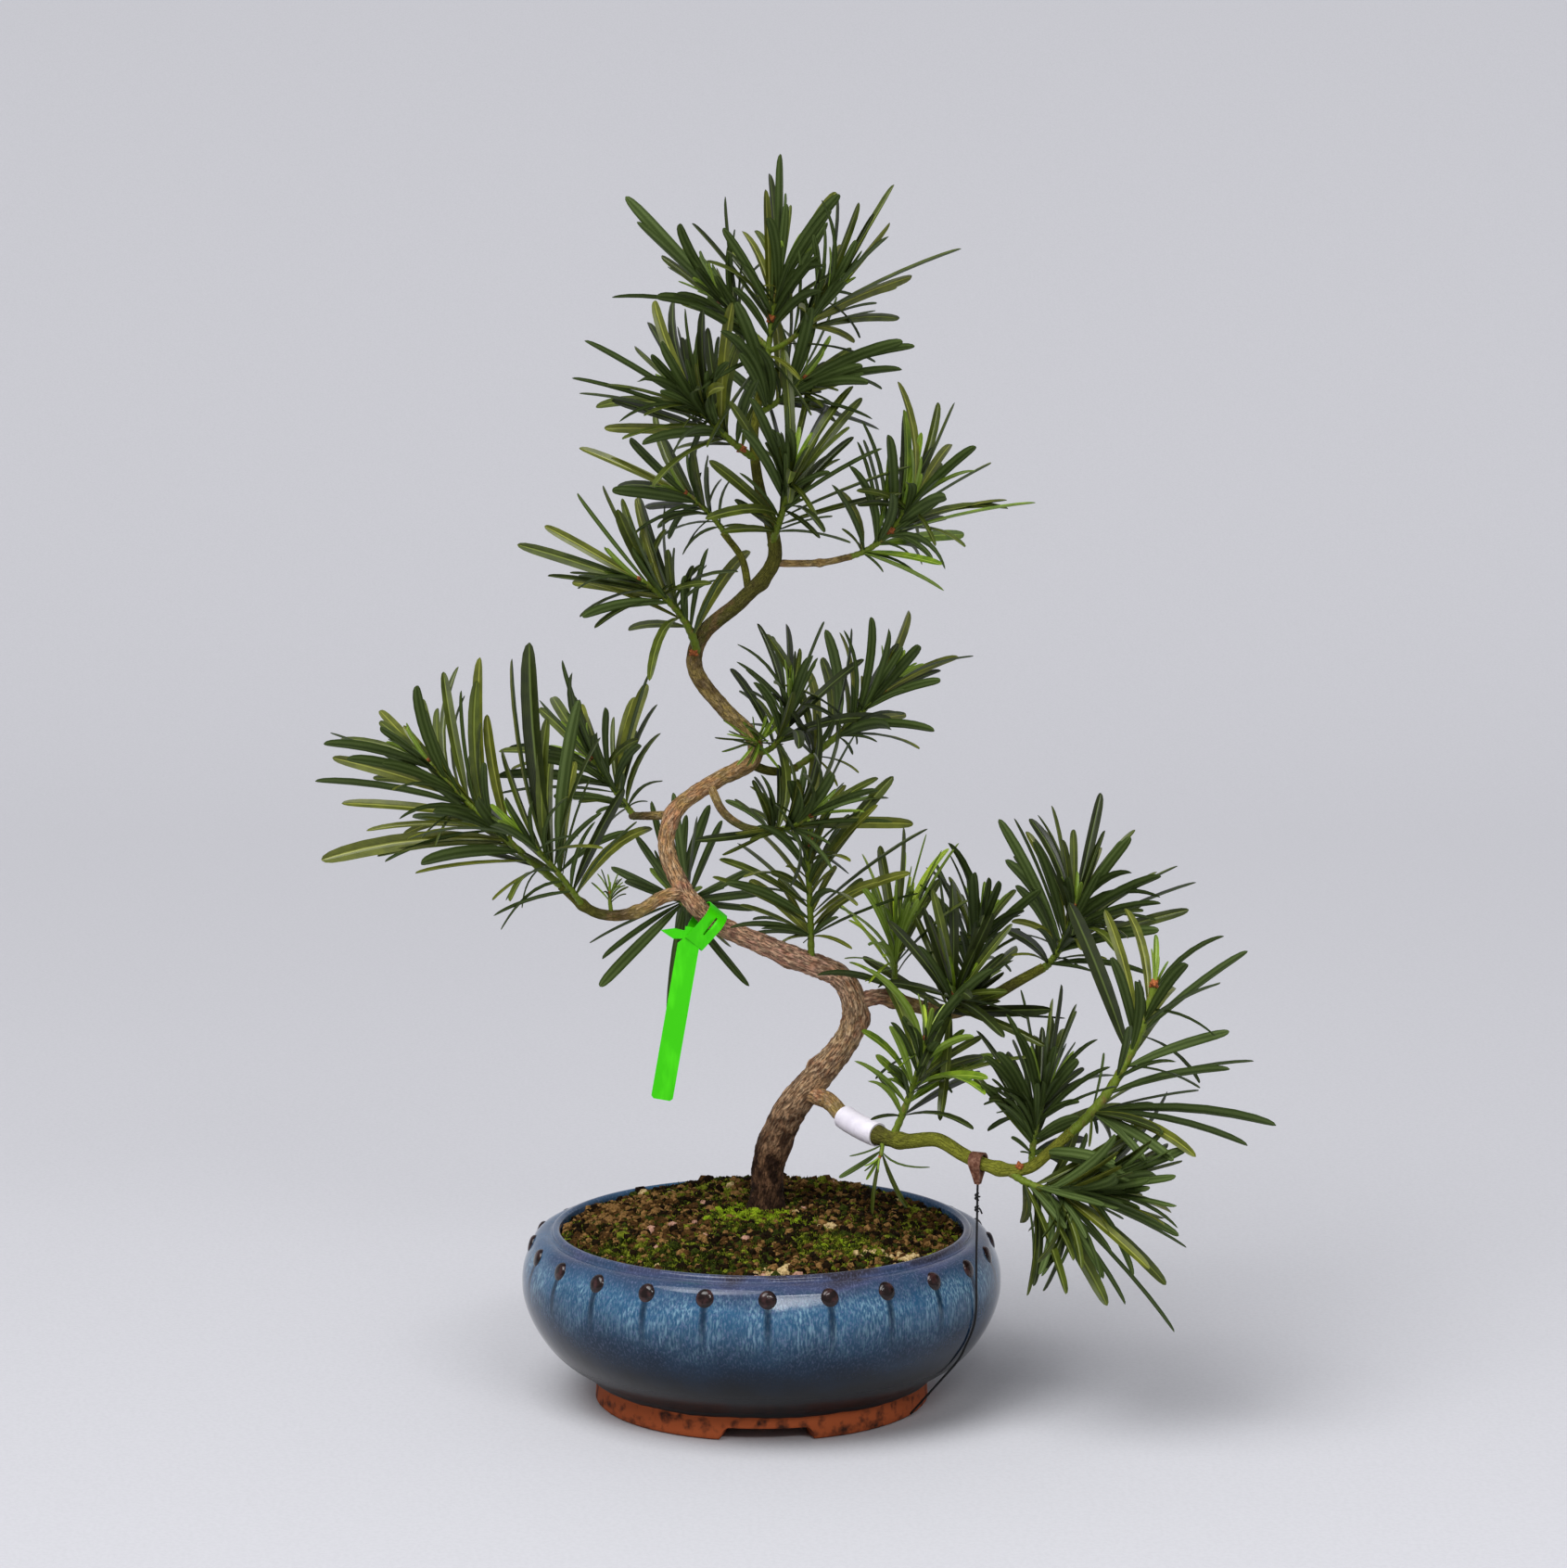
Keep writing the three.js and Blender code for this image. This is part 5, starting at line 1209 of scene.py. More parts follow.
    def whorl(self) -> Iterator[list[Leaf]]:
        """Grows the leaves to the front and the back, closing on the stem's tip.

        Returns:
            Each leaf, in one way to stand.
        """
        for i in range(self.mass.whorl):
            size_draw, arch_draw, roll_draw, side_draw = (next(self.numbers) for _ in range(4))
            s = self.whorl_from + (1 - self.whorl_from) * (i + 0.5) / self.mass.whorl
            low, rise, vary = self.whorl_spread
            spread = low + rise * s + vary * arch_draw
            swing, roll = self.whorl_swing * (side_draw - 0.5), self.whorl_roll * (roll_draw - 0.5)
            foot, chord = self.whorled(1 if i % 2 else -1, s, spread, swing)
            size = self.mass.leaf * within(self.whorl_size, size_draw)
            yield [self.leaf(foot, chord, size, within(self.whorl_arch, arch_draw), roll, self.look())]

    def heart(self) -> Iterator[list[Leaf]]:
        """Grows the finer leaves that fill the mass within the reach of its fan.

        Returns:
            Each leaf, in one way to stand.
        """
        for i in range(self.mass.inner):
            x, z, *_ = self.mass.fan[int(self.chance() * len(self.mass.fan))]
            foot = self.on_stem(within(self.heart_place, self.chance()))
            step = np.array([x, 0.0, z]) - foot[0]
            turn = math.radians(self.bearing(step) + self.heart_swing * (self.chance() - 0.5))
            reach = math.hypot(step[0], step[2]) * within(self.heart_reach, self.chance())
            size = self.length(reach, within(self.heart_size, self.chance()))
            lean = math.sqrt(size * size - reach * reach) * (1 if i % 2 else -1)
            chord = np.array([reach * math.cos(turn), lean, reach * math.sin(turn)])
            roll = self.heart_roll * (self.chance() - 0.5)
            yield [self.leaf(foot, chord, size, self.heart_arch, roll, self.look())]

    def tufted(self) -> Iterator[list[Leaf]]:
        """Grows the small young leaves round the bud.

        Returns:
            Each leaf, in one way to stand.
        """
        look = (self.mass.tuft, self.tuft_width, 0.0)
        for i in range(self.tuft):
            turn = 360 * (i + self.chance() * 0.5) / self.tuft
            foot, chord = self.whorled(1, self.leafy_to, within(self.tuft_spread, self.chance()), turn)
            size = self.mass.leaf * self.tuft_scale * within(self.tuft_size, self.chance())
            yield [self.leaf(foot, chord, size, self.tuft_arch, 0.0, look)]


# ---- The tree ----


# The bark's relief in millimetres: a flake's width and length, heights, and how it fades on thin
# and young wood.
FLAKE = (2.8, 2.8, 8.0)
FLAKE_HEIGHT = 0.6
FLAKE_EDGE = 2.6
ROUGH_HEIGHT = 0.4
ROUGH_SCALE = 0.35
BARK_SUNK = 0.25
RELIEF_BY_AGE = 1.2
LEAST_RELIEF = 0.12
FULL_RELIEF_RADIUS = 5.0
KNOB_LOBE = 1.6
# Keeps the patterns of two limbs apart.
PATTERN_STEP = np.array([13.7, 5.1, 41.3])


@dataclass
class Limb:
    """A trunk or bough: its sections as x, y, z and diameter, how old its bark is, its knobs."""

    rows: Array
    age: tuple[float, float] = (0.0, 0.0)
    knobs: tuple[Knob, ...] = ()

    def at(self, u: Array) -> tuple[Array, Array]:
        """Reads the limb.

        Args:
            u: places from 0 at its foot to 1 at its tip.

        Returns:
            The points of its heart, and its radii.
        """
        places = np.linspace(0, 1, len(self.rows))
        return spline(self.rows[:, :3], u), np.interp(u, places, self.rows[:, 3]) / 2

    def near(self, points: Array, clear: float) -> bool:
        """Tells whether any point lies in the limb or within a distance of it.

        Args:
            points: the points to test.
            clear: the distance in millimetres.

        Returns:
            True if one does.
        """
        line, radii = self.at(np.linspace(0, 1, 160))
        gaps = np.linalg.norm(points[:, None] - line[None], axis=-1) - radii[None]
        return bool((gaps < clear).any())

    def skin(self, steps: int, sides: int, seed: int) -> tuple[Array, dict[str, Array]]:
        """Works out the bark's relief.

        Args:
            steps: sections along the limb.
            sides: points round it.
            seed: what makes its flakes its own.

        Returns:
            The grid of points, and the age and the place along and across the limb at each.
        """
        u, turn = np.linspace(0, 1, steps), circle(sides)
        line, radii = self.at(u)
        run = run_along(line)
        age = np.interp(u, [0, 1], self.age)
        proud = np.zeros((steps, sides))
        for knob in self.knobs:
            swell = np.exp(-(((run - knob.at * run[-1]) / knob.length) ** 2))
            lobe = 1.0
            if knob.turn is not None:
                lobe = np.clip(np.cos(turn - knob.turn), 0, 1)[None] ** 2 * KNOB_LOBE
            proud += knob.height * swell[:, None] * lobe
        unrolled = np.empty((steps, sides, 3))
        unrolled[..., 0] = np.cos(turn)[None] * radii[:, None]
        unrolled[..., 1] = np.sin(turn)[None] * radii[:, None]
        unrolled[..., 2] = run[:, None]
        unrolled += PATTERN_STEP * seed
        relief = np.array([self.bump_at(Vector(p)) for p in unrolled.reshape(-1, 3)]).reshape(steps, sides)
        old = np.clip(age * RELIEF_BY_AGE, LEAST_RELIEF, 1.0)
        old *= np.minimum(1.0, radii / FULL_RELIEF_RADIUS)
        reach = radii[:, None] + relief * old[:, None] + proud
        values = {name: unrolled[..., k].ravel() for k, name in enumerate(("bx", "by", "bz"))}
        values["age"] = np.repeat(age, sides)
        return line[:, None] + spokes(line, sides) * reach[..., None], values

    @staticmethod
    def bump_at(place: Vector) -> float:
        """Gives the bark's relief.

        Args:
            place: a place in the unrolled limb.

        Returns:
            The height there in millimetres.
        """
        gaps, spots = noise.voronoi(Vector([v / size for v, size in zip(place, FLAKE)]))
        edge = min(1.0, (gaps[1] - gaps[0]) * FLAKE_EDGE)
        tone = 0.5 + 0.5 * noise.noise(spots[0] * 7.3)
        rough = noise.fractal(place * ROUGH_SCALE, 1.0, 2.0, 3)
        return FLAKE_HEIGHT * edge * (0.25 + 0.75 * tone) + ROUGH_HEIGHT * rough - BARK_SUNK


@dataclass
class Tree:
    """The trunk and its boughs."""

    steps_per_mm: float = 1.2
    sides: int = 42
    bough_sides: int = 23
    flare_top: float = 122.0
    flare_height: float = 20.0
    flare_share: float = 0.3
    root_ridges: int = 5

    def __post_init__(self) -> None:
        """Sets out the limbs by name."""
        self.limbs = {"trunk": Limb(TRUNK_ROWS, (1.25, 0.0), TRUNK_KNOBS)}
        for bough in BOUGHS:
            girth = np.linspace(*bough.girth, len(bough.line))
            self.limbs[bough.name] = Limb(np.column_stack([bough.line, girth]), bough.age, bough.knobs)

    def build(self) -> None:
        """Builds the bark of all limbs as one piece."""
        shape = Shape()
        for seed, limb in enumerate(self.limbs.values()):
            steps = int(run_along(limb.rows[:, :3])[-1] * self.steps_per_mm)
            points, values = limb.skin(steps, self.sides if seed == 0 else self.bough_sides, seed)
            if seed == 0:
                self.flare(points)
            shape.grid(points, wrap=True, caps=True, **values)
        shape.settle("bark", [BARK], "bark", *self.limbs)

    def flare(self, points: Array) -> None:
        """Spreads the trunk's foot into low root ridges.

        Args:
            points: the trunk's grid, changed in place.
        """
        low = np.clip((self.flare_top - points[..., 2]) / self.flare_height, 0, 1)
        off = points[..., :2] - TRUNK_ROWS[0, :2]
        ridges = 0.5 + 0.5 * np.cos(self.root_ridges * np.arctan2(off[..., 1], off[..., 0]) + 0.8)
        points[..., :2] += off * (low**2 * self.flare_share * ridges)[..., None]


# The outline of a bud and of a bud scale, as radii along it in millimetres.
BUD_RADII = np.array([0.9, 1.25, 1.3, 1.1, 0.75, 0.4, 0.08])
SCALE_RADII = np.array([1.3, 1.55, 1.5, 1.2, 0.75, 0.08])
BUD_LENGTH = 3.6
# Places of the brown clusters of old bud scales.
SCALE_CLUSTERS = (
    (75.0, 15.0, 507.0), (-11.0, -5.0, 555.5), (6.0, -1.5, 629.0), (70.0, 26.5, 415.0),
    (221.5, -71.5, 258.0), (146.0, -79.0, 154.5), (-39.0, 23.0, 436.0), (28.0, -7.0, 330.0),
)
LIME_MASS = "foliage_shelf_lime"


@dataclass
class Foliage:
    """All the leafy shoots, their leaves, stems and buds."""

    tree: Tree
    clear: float = 0.8
    pot_reach: float = 142.0
    pot_top: float = 107.0
    label: Rows = ((-41, -8.6, 276, 14.5), (-49, -8.6, 227, 14.5), (-57.1, -8.6, 178, 14.5))
    loop: Rows = ((-36, -3, 285, 22), (-31.5, 0, 281, 22), (-27, 3, 277, 22))
    stem_steps: int = 48
    stem_sunk: float = 1.5
    stem_sides: int = 10
    small_leaf: float = 50.0
    small_bud: float = 0.8
    large_bud: float = 1.6
    scales: int = 7
    scale_turn: float = 2.4

    def __post_init__(self) -> None:
        """Lists what a leaf keeps clear of: the limbs, the label's tail and its loop."""
        worn = [Limb(np.array(rows, float)) for rows in (self.label, self.loop)]
        self.kept_clear = [*self.tree.limbs.values(), *worn]

    def build(self) -> None:
        """Builds the leaves, the stems and the buds."""
        leaves, young_leaves, stems, buds = (Shape() for _ in range(4))
        for mass in MASSES:
            shoot = Shoot(mass)
            for ways in shoot.leaves():
                leaf = next(filter(self.fits, ways), None)
                if leaf:
                    leaf.add_to(young_leaves if mass.name == LIME_MASS else leaves)
            self.add_stem(shoot, stems)
            self.add_bud(shoot, buds)
        for place in SCALE_CLUSTERS:
            self.add_scales(np.array(place), buds)
        nodes = [name for name in dict.fromkeys(mass.name for mass in MASSES) if name != LIME_MASS]
        leaves.settle("leaves", LEAF_FINISHES, "leaves", *nodes)
        young_leaves.settle("young_leaves", LEAF_FINISHES, "young_leaves", LIME_MASS)
        stems.settle("shoot_stems", [SHOOT], "leaves")
        buds.settle("buds", [BUD], "leaves")

    def fits(self, leaf: Leaf) -> bool:
        """Tells whether a leaf keeps clear of the limbs, the label, the soil and the pot.

        Args:
            leaf: the leaf to test.

        Returns:
            True if it does.
        """
        points = leaf.path(np.linspace(0.25, 1, 8))
        inside = (np.hypot(points[:, 0], points[:, 1]) < self.pot_reach) & (points[:, 2] < self.pot_top)
        return not inside.any() and not any(limb.near(points, self.clear) for limb in self.kept_clear)

    def add_stem(self, shoot: Shoot, shape: Shape) -> None:
        """Adds a stem with a low swelling under each leaf.

        Args:
            shoot: the shoot.
            shape: the mesh that takes it.
        """
        line = np.array([shoot.on_stem(s)[0] for s in np.linspace(0, 1, self.stem_steps)])
        line = np.vstack([line[0] - unit(line[1] - line[0]) * self.stem_sunk, line])
        girth = np.linspace(*shoot.mass.girth, len(line)) / 2
        swelling = 0.95 + 0.08 * np.sin(np.arange(len(line)) * 1.9)
        shape.tube(line, girth * swelling, self.stem_sides)

    def add_bud(self, shoot: Shoot, shape: Shape) -> None:
        """Adds the pointed bud at a stem's tip.

        Args:
            shoot: the shoot.
            shape: the mesh that takes it.
        """
        point, heading = shoot.on_stem(1)
        size = self.small_bud if shoot.mass.leaf < self.small_leaf else self.large_bud
        line = point + heading * np.linspace(0, BUD_LENGTH * size, len(BUD_RADII))[:, None]
        shape.tube(line, BUD_RADII * size, 8)

    def add_scales(self, heart: Array, shape: Shape) -> None:
        """Adds a cluster of old bud scales.

        Args:
            heart: its middle.
            shape: the mesh that takes it.
        """
        for i in range(self.scales):
            turn = i * self.scale_turn
            rise = -0.7 + 1.7 * i / (self.scales - 1)
            way = unit(np.array([math.cos(turn), math.sin(turn) - 0.5, rise]))
            line = heart + way * np.linspace(0, BUD_LENGTH, len(SCALE_RADII))[:, None]
            shape.tube(line, SCALE_RADII, 7)


# ---- Pot and soil ----


def turned(profile: Array, columns: int) -> Array:
    """Turns a profile about the upright axis.

    Args:
        profile: rows of radius and height.
        columns: the number of points round the axis.

    Returns:
        A grid of points, one row for each profile point.
    """
    ring = np.column_stack([np.cos(circle(columns)), np.sin(circle(columns))])
    flat = profile[:, None, 0, None] * ring[None]
    high = np.broadcast_to(profile[:, 1, None, None], (*flat.shape[:2], 1))
    return np.concatenate([flat, high], axis=-1)


@dataclass
class Sheet:
    """A flat sheet with holes, filled with triangles no wider than a step."""

    outline: Array
    holes: tuple[Array, ...] = ()
    step: float = 1.5

    def fill(self) -> tuple[Array, Array]:
        """Fills the outline.

        Returns:
            The points, the outline's and holes' first, and the triangles, counterclockwise.
        """
        edges, first = [], 0
        for loop in (self.outline, *self.holes):
            count = len(loop)
            edges += [(first + k, first + (k + 1) % count) for k in range(count)]
            first += count
        rims = np.vstack([self.outline, *self.holes])
        half = self.step / 2
        x, y = (np.arange(v.min() + half, v.max(), self.step) for v in self.outline.T)
        inner = np.stack(np.meshgrid(x, y), axis=-1).reshape(-1, 2)
        clear = np.min(np.linalg.norm(inner[:, None] - rims[None], axis=-1), axis=1)
        inner = inner[(clear > 0.4 * self.step) & self.inside(inner)]
        made = geometry.delaunay_2d_cdt([Vector(p) for p in np.vstack([rims, inner])], edges, [], 0, 1e-6)
        flat = np.array([tuple(p) for p in made[0]])
        faces = np.array([face for face in made[2] if len(face) == 3])
        faces = faces[self.inside(flat[faces].mean(axis=1))]
        a, b, c = (flat[faces[:, k]] for k in range(3))
        turned_back = (b - a)[:, 0] * (c - a)[:, 1] - (b - a)[:, 1] * (c - a)[:, 0] < 0
        faces[turned_back] = faces[turned_back][:, ::-1]
        return flat, faces

    def inside(self, points: Array) -> Array:
        """Tells which points lie in the sheet.

        Args:
            points: rows of x and y.

        Returns:
            One truth for each.
        """
        held = np.zeros(len(points), bool)
        x, y = points[:, 0, None], points[:, 1, None]
        for loop in (self.outline, *self.holes):
            (x0, y0), (x1, y1) = loop.T, np.roll(loop, -1, axis=0).T
            at = x0 + (y - y0) * (x1 - x0) / np.where(y1 == y0, 1e-9, y1 - y0)
            crossed = ((y0 > y) != (y1 > y)) & (x < at)
            held ^= (np.sum(crossed, axis=1) % 2).astype(bool)
        return held

    def add_to(self, shape: Shape, bend: Callable[[Array, float], Array], thickness: float) -> None:
        """Adds the sheet, bent and given its thickness.

        Args:
            shape: the mesh that takes it.
            bend: gives space points for flat points at a height over the sheet's middle.
            thickness: its thickness in millimetres.
        """
        flat, faces = self.fill()
        half = thickness / 2
        for height, corners in ((half, faces), (-half, faces[:, ::-1])):
            shape.polygons(shape.vertices(bend(flat, height)) + corners)
        first = 0
        for index, loop in enumerate((self.outline, *self.holes)):
            k = np.arange(len(loop))
            rim = flat[first + k]
            first += len(loop)
            area = np.sum(loop[:, 0] * np.roll(loop[:, 1], -1) - loop[:, 1] * np.roll(loop[:, 0], -1))
            if (area > 0) == (index > 0):
                rim = rim[::-1]
            low, high = (shape.vertices(bend(rim, height)) for height in (-half, half))
            beside = (k + 1) % len(loop)
            shape.polygons(np.stack([low + k, low + beside, high + beside, high + k], axis=1), smooth=False)


@dataclass
class Pot:
    """The drum pot: a round belly with a row of studs, a rolled lip and a notched foot."""

    columns: int = 420
    face_rows: int = 64
    drain_sides: int = 40
    floor_step: float = 14.0
    stud_sides: int = 26
    foot_radius: float = 97.5
    foot_inner: float = 84.0
    foot_top: float = 14.0
    recess: float = 9.0
    floor_top: float = 18.0
    drain_radius: float = 11.0
    drain_offset: float = 45.0
    notches: int = 3
    notch_width: float = 54.0
    notch_height: float = 7.0
    notch_round: float = 5.0
    first_notch: float = -2.0
    studs: int = 24
    stud_radius: float = 5.3
    stud_proud: float = 2.6
    stud_height: float = 91.0
    stud_ring: float = 133.6
    stud_tall: float = 1.06
    first_stud: float = 1.4
    shoulder_slope: float = 0.263
    glaze_sway: float = 0.9
    glaze_swell: float = 0.004
    # A stud's outline, in shares of its radius and height.
    dome: Pairs = (
        (1.1, -1.0), (1.04, 0.0), (0.98, 0.35), (0.86, 0.68), (0.66, 0.9), (0.4, 1.0), (0.08, 1.04),
    )
    foot: Pairs = (
        (84, 9), (84, 5), (84, 1), (84.8, 0.1), (87, 0), (94, 0), (96.7, 0.1), (97.5, 0.9), (97.3, 4),
        (97.0, 8), (96.7, 12), (96.6, 13.6),
    )
    bead: Pairs = ((97.2, 13.7), (99.0, 13.9), (100.6, 14.9), (101.4, 16.2), (102.6, 17.5), (104.6, 18.9))
    face: Pairs = (
        (107, 20.6), (118, 27.8), (127, 37), (134, 48), (138.4, 59), (140, 69), (138.8, 81), (133, 95),
    )
    rim: Pairs = (
        (131.2, 96.9), (129, 98.1), (126.5, 98.6), (124.6, 98.5), (123.2, 98.5), (122.6, 99.0),
        (122.5, 99.8), (122.2, 100.9), (121.4, 101.7), (120.0, 102.0), (118.8, 101.7), (118.0, 101.0),
        (117.6, 99.8), (117.6, 97.5), (117.7, 95), (122, 90), (131, 82), (132, 69), (124, 46), (106, 26),
        (88, 18),
    )

    def build(self) -> None:
        """Builds the body with its underside, and the studs."""
        face = spline(np.array(self.face, float), np.linspace(0, 1, self.face_rows))
        profile = np.vstack([self.foot, self.bead, face, self.rim])
        points = turned(profile, self.columns)
        self.cut_notches(points)
        self.run_glaze(points[len(self.foot) : len(self.foot) + len(self.bead)])
        body, studs = Shape(), Shape()
        kinds = np.ones(len(profile) - 1, int)
        kinds[: len(self.foot) - 1] = 0
        body.grid(points, wrap=True, material=kinds)
        self.add_underside(body)
        for i in range(self.studs):
            self.add_stud(studs, self.first_stud + 360 * i / self.studs)
        body.settle("pot_body", [FOOT_CLAY, GLAZE], "glaze", "pot")
        studs.settle("pot_studs", [STUD_GLAZE], "glaze")

    def cut_notches(self, points: Array) -> None:
        """Raises the foot's lower edge into wide flat arches.

        Args:
            points: the pot's grid, changed in place.
        """
        x, y, z = np.moveaxis(points, -1, 0)
        turn = np.degrees(np.arctan2(x, -y))
        lift = np.zeros_like(z)
        for i in range(self.notches):
            away = np.abs((turn + self.first_notch + 360 * i / self.notches + 180) % 360 - 180)
            edge = (self.notch_width / 2 - np.radians(away) * self.foot_radius) / self.notch_round
            lift = np.maximum(lift, self.notch_height * np.sqrt(1 - (1 - np.clip(edge, 0, 1)) ** 2))
        points[..., 2] = np.where(z < self.foot_top - 1, lift + z * (1 - lift / self.foot_top), z)

    def run_glaze(self, points: Array) -> None:
        """Lets the glaze's pooled edge wander.

        Args:
            points: the bead's part of the grid, changed in place.
        """
        for k, turn in enumerate(circle(points.shape[1])):
            sway = noise.fractal(Vector((4 * math.cos(turn), 4 * math.sin(turn), 0)), 1.0, 2.0, 3)
            points[:, k, 2] += self.glaze_sway * sway
            points[:, k, :2] *= 1 + self.glaze_swell * sway

    def add_underside(self, shape: Shape) -> None:
        """Adds the recessed floor with its drain holes.

        Args:
            shape: the mesh that takes it.
        """
        drains = [(side * self.drain_offset, self.drain_radius, self.drain_sides) for side in (-1, 1)]
        edge, *holes = (
            np.column_stack([x + radius * np.cos(circle(count)), radius * np.sin(circle(count))])
            for x, radius, count in [(0.0, self.foot_inner, self.columns), *drains]
        )
        flat, faces = Sheet(edge, tuple(holes), self.floor_step).fill()
        first = shape.vertices(np.column_stack([flat, np.full(len(flat), self.recess)]))
        shape.polygons(first + faces[:, ::-1], smooth=False)
        for ring in holes:
            rows = [np.column_stack([ring, np.full(len(ring), z)]) for z in (self.floor_top, self.recess)]
            shape.grid(np.stack(rows), wrap=True)

    def add_stud(self, shape: Shape, degrees: float) -> None:
        """Adds a stud, a low dome that stands square on the slope of the shoulder.

        Args:
            shape: the mesh that takes it.
            degrees: its turn from the front.
        """
        outward, beside = facing(degrees)
        normal = outward * math.cos(self.shoulder_slope) + UP * math.sin(self.shoulder_slope)
        rise = np.cross(normal, beside)
        heart = outward * self.stud_ring + UP * self.stud_height
        spin = circle(self.stud_sides)[:, None]
        ring = beside * np.cos(spin) + rise * np.sin(spin) * self.stud_tall
        rows = [heart + ring * (self.stud_radius * r) + normal * (self.stud_proud * h) for r, h in self.dome]
        shape.grid(np.stack(rows), wrap=True, caps=True)


class Grain(IntEnum):
    """The kinds of crumb, in the order of GRANULES."""

    DARK = 0
    BROWN = 1
    TAN = 2
    MOSS_DARK = 3
    MOSS_OLIVE = 4
    MOSS_BRIGHT = 5
    CREAM = 6
    PINK = 7


DARK, BROWN, TAN, MOSS_DARK, MOSS_OLIVE, MOSS_BRIGHT, CREAM, PINK = Grain
MOSSES = slice(MOSS_DARK, MOSS_BRIGHT + 1)

# Patches of the soil: where they lie, how wide they are, and which grains are common in them.
ZONES = (
    ((-8, 12), 24, {MOSS_BRIGHT: 30, MOSS_OLIVE: 8}),
    ((26, -6), 13, {MOSS_BRIGHT: 12, MOSS_OLIVE: 8}),
    ((-10, -18), 20, {MOSS_DARK: 10, MOSS_OLIVE: 5}),
    ((8, -35), 24, {DARK: 22, MOSS_DARK: 6}),
    ((-75, -72), 34, {MOSS_DARK: 16, MOSS_OLIVE: 9, TAN: 2}),
    ((-30, -92), 30, {MOSS_DARK: 18, MOSS_OLIVE: 7, DARK: 6}),
    ((42, -55), 28, {MOSS_OLIVE: 12, MOSS_DARK: 8, MOSS_BRIGHT: 2}),
    ((62, -68), 10, {CREAM: 16, MOSS_OLIVE: 10, TAN: 10}),
    ((80, -66), 9, {CREAM: 18, TAN: 10}),
    ((6, -108), 12, {CREAM: 12, TAN: 12, PINK: 4}),
    ((38, -20), 7, {CREAM: 12, TAN: 12}),
    ((-95, 45), 46, {TAN: 14, BROWN: 9}),
    ((-52, -16), 32, {BROWN: 14, TAN: 6, PINK: 0.3}),
    ((-62, -25), 6, {PINK: 6, TAN: 8}),
    ((-42, 40), 15, {DARK: 16, PINK: 0.4}),
    ((-32, 62), 34, {MOSS_OLIVE: 6, TAN: 5, DARK: 4}),
    ((55, 50), 34, {DARK: 22, BROWN: 9}),
    ((95, 10), 32, {DARK: 9, BROWN: 12, MOSS_OLIVE: 3}),
    ((40, 85), 34, {BROWN: 10, TAN: 5, MOSS_OLIVE: 5}),
)


